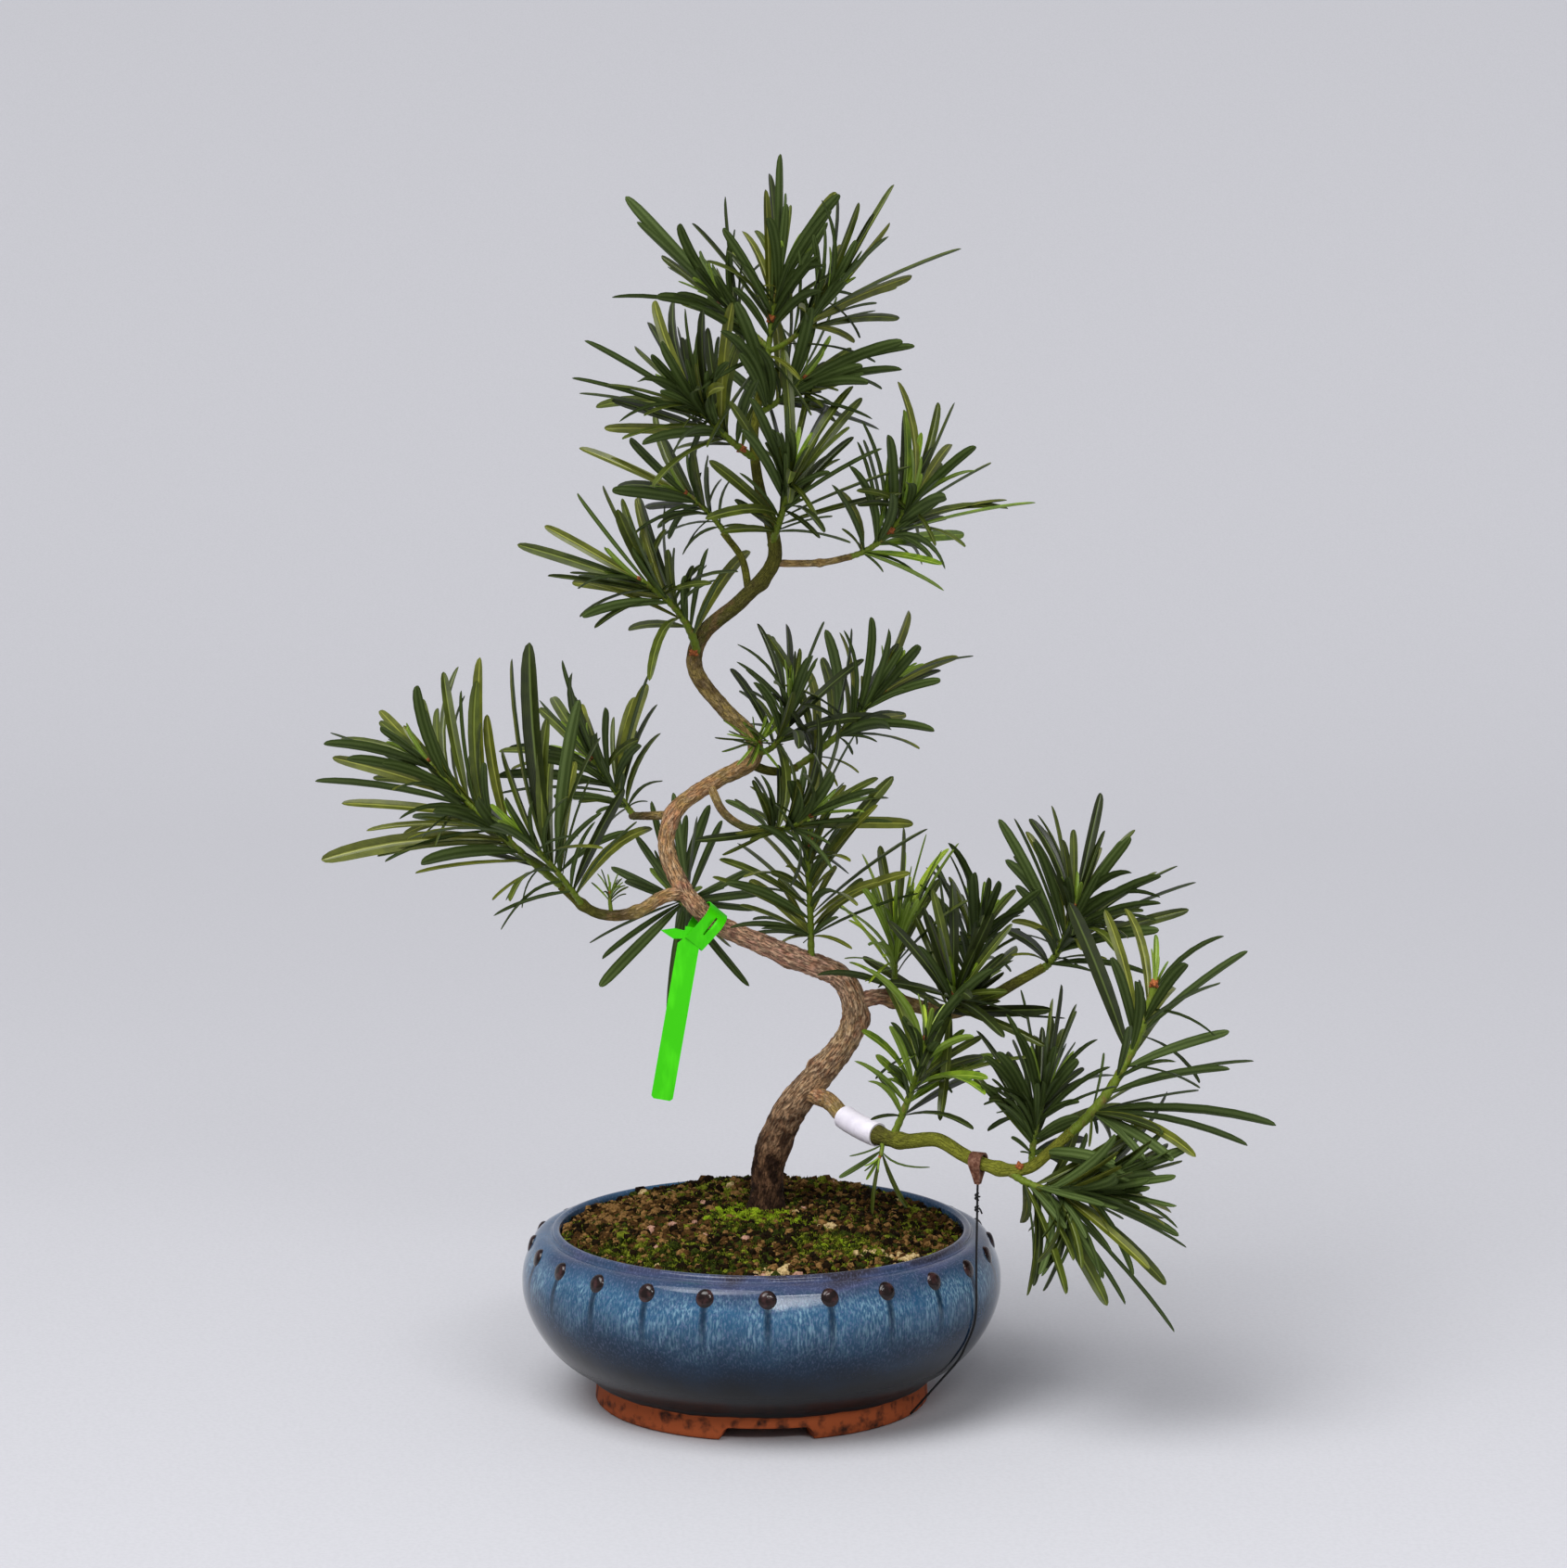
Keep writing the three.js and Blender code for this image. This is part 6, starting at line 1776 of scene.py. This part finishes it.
@dataclass
class Soil:
    """The soil: a crumbly bed under loose grains and cushions of moss."""

    bed_rows: int = 80
    bed_columns: int = 200
    mouth: float = 117.1
    edge_top: float = 97.4
    crown_radius: float = 46.0
    crown: float = 104.6
    bow: float = 1.3
    sunk: float = 0.7
    bank: float = 5.0
    bank_x: tuple[float, float] = (8.0, 92.0)
    bank_y: tuple[float, float] = (25.0, 70.0)
    hump: float = 1.7
    hump_across: tuple[float, float] = (8.5, 9.3)
    hump_start: tuple[float, float] = (0.7, 1.9)
    hump_ends: tuple[float, float] = (14.0, 13.1)
    lumpy_from: float = 8.0
    lump_size: float = 6.0
    lump_height: float = 1.0
    scatter: float = 0.8
    grains: int = 7600
    grain_size: tuple[float, float] = (1.0, 2.9)
    pebble_scale: float = 1.2
    clod_share: float = 0.05
    clod_scale: float = 1.5
    battered: float = 0.16
    stretch: tuple[float, float] = (0.65, 1.25)
    proud: float = 0.45
    moss_proud: float = 0.25
    zone_reach: float = 2.2
    zone_fall: float = 1.2
    tufts: int = 15600
    sprigs: int = 4
    sprig_height: tuple[float, float] = (1.6, 3.6)
    sprig_width: tuple[float, float] = (0.3, 0.6)
    sprig_lean: float = 0.5
    sprig_scatter: float = 0.6
    sprig_root: float = 0.3
    mossy: float = 1.3
    grains_clear: float = 13.0
    moss_clear: float = 11.0
    base: tuple[float, ...] = (6.0, 5.5, 2.4, 2.2, 1.0, 0.0, 0.08, 0.04)
    # The bed's outside below the mouth, as rows of radius and height.
    wall: Pairs = ((88, 18.6), (105.4, 26.5), (123.4, 46.5), (131.4, 69), (130.4, 82), (117.1, 94))

    def __post_init__(self) -> None:
        """Readies the repeatable numbers."""
        self.rng = np.random.default_rng(77)

    def height(self, x: Array, y: Array) -> Array:
        """Gives the bed's height.

        Args:
            x: places to the right.
            y: places to the back.

        Returns:
            One height for each place.
        """
        away = np.hypot(x, y)
        fall = np.clip((away - self.crown_radius) / (self.mouth - self.crown_radius), 0, 1)
        rise = self.crown - self.sunk - (self.crown - self.edge_top) * fall**self.bow
        inner, outer = self.hump_ends
        humped = np.clip((away - self.crown_radius) / inner, 0, 1)
        humped *= np.clip((self.mouth - away) / outer, 0, 1)
        waves = [np.sin(v / w + a) for v, w, a in zip((x, y), self.hump_across, self.hump_start)]
        lumps = [
            noise.fractal(Vector((a / self.lump_size, b / self.lump_size, 3.7)), 0.8, 2.0, 4)
            for a, b in zip(np.ravel(x), np.ravel(y))
        ]
        edge = np.clip((self.mouth - away) / self.lumpy_from, 0.25, 1)
        (middle, half), (start, depth) = self.bank_x, self.bank_y
        back = np.clip((y - start) / depth, 0, 1) * np.clip(1.6 - np.abs(x - middle) / half * 1.6, 0, 1)
        rise = rise + self.bank * np.clip(back, 0, 1)
        lumpy = self.lump_height * edge * np.reshape(lumps, np.shape(x))
        return rise + self.hump * humped * waves[0] * waves[1] + lumpy

    def shares(self, x: float, y: float) -> Array:
        """Gives the share of each kind of grain at a place.

        Args:
            x: the place to the right.
            y: the place to the back.

        Returns:
            Shares that add up to one.
        """
        weights = np.array(self.base)
        for at, size, grains in ZONES:
            off = math.hypot(x - at[0], y - at[1]) / size
            if off < self.zone_reach:
                for kind, amount in grains.items():
                    weights[kind] += amount * math.exp(-((off * self.zone_fall) ** 4))
        return weights / weights.sum()

    def scattered(self, count: int) -> Array:
        """Gives places spread evenly over the mouth.

        Args:
            count: how many.

        Returns:
            Rows of x and y.
        """
        index = np.arange(count) + 0.5
        away = np.sqrt(index / count) * (self.mouth - 1.2)
        turn = index * math.pi * (1 + math.sqrt(5))
        places = np.column_stack([away * np.cos(turn), away * np.sin(turn)])
        places += self.rng.normal(0, self.scatter, places.shape)
        far, limit = np.hypot(*places.T), self.mouth - 1.3
        return places * np.where(far > limit, limit / far, 1.0)[:, None]

    def build(self) -> None:
        """Builds the bed, the grains and the moss."""
        self.bed().settle("soil_bed", [SOIL_BED], "soil", "soil")
        self.loose_grains().settle("soil_grains", GRANULES, "soil")
        self.moss().settle("soil_moss", GRANULES[MOSSES], "soil")

    def bed(self) -> Shape:
        """Builds the bed, closed down to the pot's floor.

        Returns:
            The mesh.
        """
        top = np.linspace(self.mouth, 0.4, self.bed_rows)
        profile = np.vstack([self.wall, np.column_stack([top, np.zeros(self.bed_rows)])])
        points = turned(profile, self.bed_columns)
        first = len(self.wall)
        points[first:, :, 2] = self.height(points[first:, :, 0], points[first:, :, 1])
        shape = Shape()
        shape.grid(points, wrap=True, caps=True)
        return shape

    @staticmethod
    def from_trunk(x: float, y: float) -> float:
        """Returns a place's distance from the trunk's heart."""
        return math.hypot(x - TRUNK_ROWS[0, 0], y - TRUNK_ROWS[0, 1])

    def loose_grains(self) -> Shape:
        """Builds the grains, each a battered twenty-sided crumb in one colour.

        Returns:
            The mesh of all of them.
        """
        shape = Shape()
        crumb, faces = self.crumb()
        places = self.scattered(self.grains)
        for (x, y), z in zip(places, self.height(*places.T)):
            kind = Grain(self.rng.choice(8, p=self.shares(x, y)))
            size = self.rng.uniform(*self.grain_size)
            size *= self.pebble_scale if kind in (CREAM, PINK) else 1.0
            size *= self.clod_scale if self.rng.random() < self.clod_share else 1.0
            stretch = self.rng.uniform(*self.stretch, 3)
            basis, _ = np.linalg.qr(self.rng.normal(size=(3, 3)))
            dents = self.rng.uniform(-self.battered, self.battered, (len(crumb), 1))
            knocked = crumb * stretch * (1 + dents)
            proud = self.moss_proud if MOSS_DARK <= kind <= MOSS_BRIGHT else self.proud
            heart = np.array([x, y, z + proud * size * self.rng.random()])
            if self.from_trunk(x, y) >= self.grains_clear:
                first = shape.vertices(heart + (knocked @ basis.T) * size)
                outward = faces if np.linalg.det(basis) > 0 else faces[:, ::-1]
                shape.polygons(first + outward, kind, smooth=False)
        return shape

    @staticmethod
    def crumb() -> tuple[Array, Array]:
        """Works out a twenty-sided solid of radius one.

        Returns:
            Its points and its faces.
        """
        g = (1 + math.sqrt(5)) / 2
        corners = [(a, b * g, 0.0) for a in (-1, 1) for b in (-1, 1)]
        points = unit(np.array([p for q in corners for p in (q, (0.0, q[0], q[1]), (q[1], 0.0, q[0]))]))
        faces = []
        for trio in itertools.combinations(range(12), 3):
            a, b, c = points[list(trio)]
            if max(np.linalg.norm(a - c), np.linalg.norm(b - a), np.linalg.norm(c - b)) < 1.1:
                outward = np.cross(b - a, c - a) @ (a + b + c) > 0
                faces.append(trio if outward else (trio[0], trio[2], trio[1]))
        return points, np.array(faces)

    def moss(self) -> Shape:
        """Builds the moss, short upright sprigs where its grains are common.

        Returns:
            The mesh of all of them.
        """
        shape = Shape()
        places = self.scattered(self.tufts)
        self.rng.shuffle(places)
        for (x, y), z in zip(places, self.height(*places.T)):
            share = self.shares(x, y)[MOSSES]
            if self.rng.random() > share.sum() * self.mossy or self.from_trunk(x, y) < self.moss_clear:
                continue
            kind = int(self.rng.choice(3, p=share / share.sum()))
            tall = self.rng.uniform(*self.sprig_height)
            for _ in range(self.sprigs):
                lean = self.rng.normal(0, self.sprig_lean, 2)
                turn = self.rng.uniform(0, math.pi)
                side = np.array([math.cos(turn), math.sin(turn), 0.0]) * self.rng.uniform(*self.sprig_width)
                foot = np.array([x, y, z - self.sprig_root])
                foot += np.append(self.rng.normal(0, self.sprig_scatter, 2), 0)
                tip = foot + np.array([lean[0] * tall, lean[1] * tall, tall + self.sprig_root])
                middle = (foot + tip) / 2 + 0.2 * UP
                sprig = [foot - side * 0.6, foot + side * 0.6, middle + side, tip, middle - side]
                shape.polygons(shape.vertices(np.array(sprig)) + np.arange(5)[None], kind, smooth=False)
        return shape


# ---- Label, tape, pad and wire ----


@dataclass(frozen=True)
class Seat:
    """A local frame: where it stands, which way its own Z looks, and which way is down in it."""

    at: Point
    axis: Point
    down: Point

    def place(self, local: Array) -> Array:
        """Moves local points into space.

        Args:
            local: rows of x, y and z.

        Returns:
            The same rows in space.
        """
        z = unit(np.array(self.axis, float))
        x = unit(np.cross(-np.array(self.down, float), z))
        return np.array(self.at, float) + local @ np.stack([x, np.cross(z, x), z])


@dataclass(frozen=True)
class Band:
    """A strap bent over a limb and closing below it, its ends pinched to a share of its width."""

    seat: Seat
    radius: float
    drop: float
    width: float
    thickness: float
    pinch: float = 1.0
    holes: tuple[Array, ...] = ()

    def line(self) -> Array:
        """Works out the strap's middle line in its own plane.

        Returns:
            Its points, from one end over to the other.
        """
        turn = np.linspace(-0.3, math.pi + 0.3, 40)
        middle = self.radius + self.thickness / 2
        arc = np.column_stack([middle * np.cos(turn), middle * np.sin(turn)])
        end, waist = (self.thickness * 0.52, -self.drop), (middle * 0.52, -0.28 * middle - 0.42 * self.drop)
        near = np.array([end, waist])
        return spline(np.vstack([near, arc, near[::-1] * [-1, 1]]), np.linspace(0, 1, 200))

    def add_to(self, shape: Shape) -> None:
        """Adds the strap.

        Args:
            shape: the mesh that takes it.
        """
        line = self.line()
        run = run_along(line)
        tangents = unit(np.gradient(line, axis=0))
        frame = np.column_stack([line, tangents[:, 1], -tangents[:, 0]])

        def bend(flat: Array, height: float) -> Array:
            """Bends flat points along the strap.

            Args:
                flat: rows of the distance along the strap and across it.
                height: their height over the strap's middle.

            Returns:
                Rows of x, y and z.
            """
            x, y, out_x, out_y = (np.interp(flat[:, 0], run, column) for column in frame.T)
            narrow = np.interp(flat[:, 0] / run[-1], [0, 0.32, 0.68, 1], [self.pinch, 1, 1, self.pinch])
            local = [x + out_x * height, y + out_y * height, -flat[:, 1] * narrow]
            return self.seat.place(np.column_stack(local))

        along, half = np.linspace(0, run[-1], 90), np.full(90, self.width / 2)
        outline = np.vstack([np.column_stack([along, -half]), np.column_stack([along[::-1], half])])
        Sheet(outline, self.holes, 1.2).add_to(shape, bend, self.thickness)


@dataclass
class Label:
    """The loop-lock label: a loop through its own slit, a pointed free end and a long blank tail."""

    width: float = 12.7
    thickness: float = 0.7
    tail: float = 99.0
    neck: float = 3.6
    slant: float = 0.172
    tail_at: Point = (-41.0, -8.3, 276.0)
    loop_radius: float = 9.8
    loop_drop: float = 16.0
    seat: Seat = Seat((-31.5, -0.1, 281.1), (-0.742, -0.158, 0.65), (-0.413, -0.551, -0.724))
    slit_at: tuple[float, float] = (14.0, 0.6)
    slit_size: tuple[float, float] = (13.0, 1.2)
    edge_step: float = 1.5
    curl: float = -0.6
    cupped: float = 0.09
    tuck: float = 0.9
    tuck_bend: Point = (0.05, 6.0, 1.4)

    def build(self) -> None:
        """Builds the strap as one piece."""
        shape = Shape()
        sizes = (self.loop_radius, self.loop_drop, self.width, self.thickness)
        Band(self.seat, *sizes, holes=(self.slit(),)).add_to(shape)
        half, neck = self.width / 2, self.neck
        # The tail's right side, from its neck to its clipped end, and the pointed free end.
        side = np.array([(neck, 4), (neck, -2.5), (neck + 0.6, -4), (half, -6.5), (half, 1.5 - self.tail),
                         (half - 1.5, -self.tail)])
        tail = np.vstack([side * [-1, 1], side[::-1]])
        end = np.array([(0.6 - neck, 1.2), (-half - 3, 1.6), (-half - 11, -1.2), (-half - 3, -4.6),
                        (0.6 - neck, -3.4)])
        Sheet(self.fine(tail), (), 1.6).add_to(shape, self.hang, self.thickness)
        Sheet(self.fine(end), (), 1.2).add_to(shape, self.tucked, self.thickness)
        shape.settle("label_strap", [VINYL], "label_strap", "label")

    def slit(self) -> Array:
        """Works out the outline of the slit, with round ends.

        Returns:
            Rows of the distance along the loop and across it.
        """
        length, width = self.slit_size
        turn = np.linspace(-math.pi / 2, math.pi / 2, 7)
        cap = np.column_stack([(length - width) / 2 + width / 2 * np.cos(turn), width / 2 * np.sin(turn)])
        return np.vstack([cap, -cap]) + self.slit_at

    def fine(self, corners: Array) -> Array:
        """Sets points one step apart.

        Args:
            corners: the corners of an outline.

        Returns:
            The finer outline.
        """
        rows = []
        for a, b in zip(corners, np.roll(corners, -1, axis=0)):
            count = max(1, round(float(np.linalg.norm(b - a)) / self.edge_step))
            rows += [a + (b - a) * k / count for k in range(count)]
        return np.array(rows)

    def hang(self, flat: Array, height: float) -> Array:
        """Hangs flat points in the tail's plane.

        Args:
            flat: rows of x and y in the strap.
            height: the height over the strap's middle.

        Returns:
            The points in space.
        """
        x, y = flat.T
        curl = self.curl * np.sin(math.pi * np.clip(-y / self.tail, 0, 1))
        curl += self.cupped * (x / (self.width / 2)) ** 2
        cos, sin = math.cos(self.slant), math.sin(self.slant)
        depth = -self.thickness / 2 + curl - height
        return np.array(self.tail_at) + np.column_stack([x * cos + y * sin, depth, -x * sin + y * cos])

    def tucked(self, flat: Array, height: float) -> Array:
        """Hangs the points of the free end, which bends back behind the tail.

        Args:
            flat: rows of x and y in the strap.
            height: the height over the strap's middle.

        Returns:
            The points in space.
        """
        points = self.hang(flat, height)
        amount, start, power = self.tuck_bend
        points[:, 1] += self.tuck + amount * np.maximum(0, -flat[:, 0] - start) ** power
        return points


@dataclass
class Ties:
    """The white graft tape, the brown pad strap on the bough and the black wire to the pot."""

    bough: Limb
    tape_radius: float = 7.15
    tape_sunk: float = 0.14
    tape_lap: float = 0.12
    tape_crease: float = 0.05
    tape_span: tuple[float, float] = (0.168, 0.302)
    turns: float = 4.5
    pad: Band = Band(Seat((122.8, -70.6, 155.4), (15, -8, 0), (0, 0, -1)), 4.6, 12.6, 7.5, 1.2, 0.42)
    wire_radius: float = 0.65
    twist_radius: float = 0.5
    wire_turn: float = 60.0
    wire_rows: Pairs = (
        (141.8, 145.5), (141.6, 138), (141.4, 118), (141.2, 104), (141.2, 88), (141.3, 70), (139.6, 59),
        (134.6, 47), (129.4, 37.5), (119.4, 25.6), (109.2, 13.8), (99.2, 2.2),
    )
    knots: Pairs = ((137.5, 133.0), (130.0, 126.5))
    knot_ring: float = 141.5
    knot_turns: float = 2.2
    knot_radius: tuple[float, float] = (0.5, 0.9)
    stub: Rows = ((0.9, 0, 129), (1.9, 0.5, 127.6), (2.6, 0.9, 125.4))

    def build(self) -> None:
        """Builds the three pieces."""
        self.tape().settle("graft_tape_wrap", [TAPE], "tape", "graft_tape")
        strap = Shape()
        self.pad.add_to(strap)
        strap.settle("tie_pad_strap", [PAD_STRAP], "pad", "tie_pad")
        self.wire().settle("tie_wire_twisted", [WIRE], "wire", "tie_wire")

    def tape(self) -> Shape:
        """Winds the tape round the bough in overlapping turns.

        Returns:
            The mesh.
        """
        steps, sides = 110, 64
        line, _ = self.bough.at(np.linspace(*self.tape_span, steps))
        turn = circle(sides)
        lap = (np.linspace(0, self.turns, steps)[:, None] - turn[None] / (2 * math.pi)) % 1.0
        crease = np.array([
            [noise.noise(Vector((math.cos(a) * 2.2, math.sin(a) * 2.2, i * 0.16))) for a in turn]
            for i in range(steps)
        ])
        reach = self.tape_radius - self.tape_sunk + self.tape_lap * (1 - lap) ** 6
        reach += self.tape_crease * crease
        shape = Shape()
        shape.grid(line[:, None] + spokes(line, sides) * reach[..., None], wrap=True, caps=True)
        return shape

    def wire(self) -> Shape:
        """Builds the wire with its two twisted knots and bent end.

        Returns:
            The mesh.
        """
        outward, beside = facing(self.wire_turn)
        shape = Shape()
        radius, height = spline(np.array(self.wire_rows), np.linspace(0, 1, 180)).T[..., None]
        shape.tube(outward * radius + UP * height, self.wire_radius, 12)
        spin = np.linspace(0, 2 * math.pi * self.knot_turns, 40)[:, None]
        fat = within(self.knot_radius, np.sin(np.linspace(0, math.pi, 40))[:, None])
        for top, bottom in self.knots:
            heart = outward * self.knot_ring + UP * np.linspace(top, bottom, 40)[:, None]
            coil = heart + (outward * np.cos(spin) + beside * np.sin(spin)) * fat
            shape.tube(coil, self.twist_radius, 8)
        stub = [
            outward * (self.knot_ring + out) + beside * aside + UP * height
            for out, aside, height in self.stub
        ]
        shape.tube(np.array(stub), self.twist_radius, 8)
        return shape


# ---- Floor, light and camera ----


@dataclass
class Studio:
    """A pale floor that sweeps up behind, soft light from above and in front, and the camera."""

    camera_at: Point = (-0.019, -2.492, 0.712)
    pitch: float = 7.966
    heading: float = -0.294
    lens: float = 100.5
    flat: float = 2200.0
    sweep: float = 3500.0
    reach: float = 9000.0
    surround: str = "#e3e4e8"
    brightness: float = 0.46
    sun_power: float = 2.2
    sun_width: float = 45.0
    aim: Point = (0.0, 0.0, 0.25)

    def build(self) -> None:
        """Lays the floor and sets the lights and the camera."""
        self.floor()
        self.sky()
        self.light("broad_sun", "SUN", self.sun_power, (0.0, 0.0, 0.0), Vector((0.35, 0.45, -1.0)),
                   angle=math.radians(self.sun_width))
        for name, at, size, power in (
            ("key_softbox", (-1.0, -1.3, 1.9), (1.0, 1.0), 16.0),
            ("strip_softbox", (0.5, -1.5, 1.15), (0.8, 0.22), 9.0),
        ):
            way = Vector(self.aim) - Vector(at)
            self.light(name, "AREA", power, at, way, shape="RECTANGLE", size=size[0], size_y=size[1])
        bpy.context.scene.view_settings.view_transform = "Standard"
        data = bpy.data.cameras.new("camera")
        data.lens = self.lens
        data.sensor_width = 36.0
        camera = bpy.data.objects.new("camera", data)
        camera.location = self.camera_at
        camera.rotation_euler = (math.radians(90 - self.pitch), 0.0, math.radians(self.heading))
        bpy.context.scene.collection.objects.link(camera)
        bpy.context.scene.camera = camera

    def floor(self) -> None:
        """Lays the floor, which sweeps up far behind the tree without an edge."""
        turn = np.linspace(0, math.pi / 2, 24)
        bend = np.column_stack([self.flat + self.sweep * np.sin(turn), self.sweep * (1 - np.cos(turn))])
        profile = np.vstack([[(-6000.0, 0.0)], bend, [(self.flat + self.sweep, self.reach)]]) - [0.0, 0.5]
        points = np.empty((len(profile), 7, 3))
        points[..., 0] = np.linspace(-self.reach, self.reach, 7)
        points[..., 1:] = profile[:, None]
        shape = Shape()
        shape.grid(points)
        shape.build("studio_sweep", [FLOOR])

    def sky(self) -> None:
        """Gives an even pale surround."""
        world = bpy.data.worlds.new("pale_surround")
        world.use_nodes = True
        inputs = world.node_tree.nodes["Background"].inputs
        inputs[0].default_value = linear(self.surround)
        inputs[1].default_value = self.brightness
        bpy.context.scene.world = world

    @staticmethod
    def light(
        name: str, kind: str, power: float, at: Point, way: Vector, **settings: object
    ) -> None:
        """Sets a light.

        Args:
            name: its name.
            kind: Blender's kind of light.
            power: its watts, or the sun's strength.
            at: its place in metres.
            way: the way it shines.
            settings: its own properties.
        """
        data = bpy.data.lights.new(name, kind)
        data.energy = power
        for key, value in settings.items():
            setattr(data, key, value)
        light = bpy.data.objects.new(name, data)
        light.location = at
        light.rotation_euler = way.to_track_quat("-Z", "Y").to_euler()
        bpy.context.scene.collection.objects.link(light)


def main() -> None:
    """Builds every piece in order."""
    logging.basicConfig(level=logging.INFO, format="%(message)s")
    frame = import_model()
    LOG.info("%d nodes in the frame", len(frame["nodes"]))
    tree = Tree()
    tree.build()
    Foliage(tree).build()
    Pot().build()
    Soil().build()
    Label().build()
    Ties(tree.limbs["bough_low"]).build()
    Studio().build()


if __name__ == "__main__":
    main()
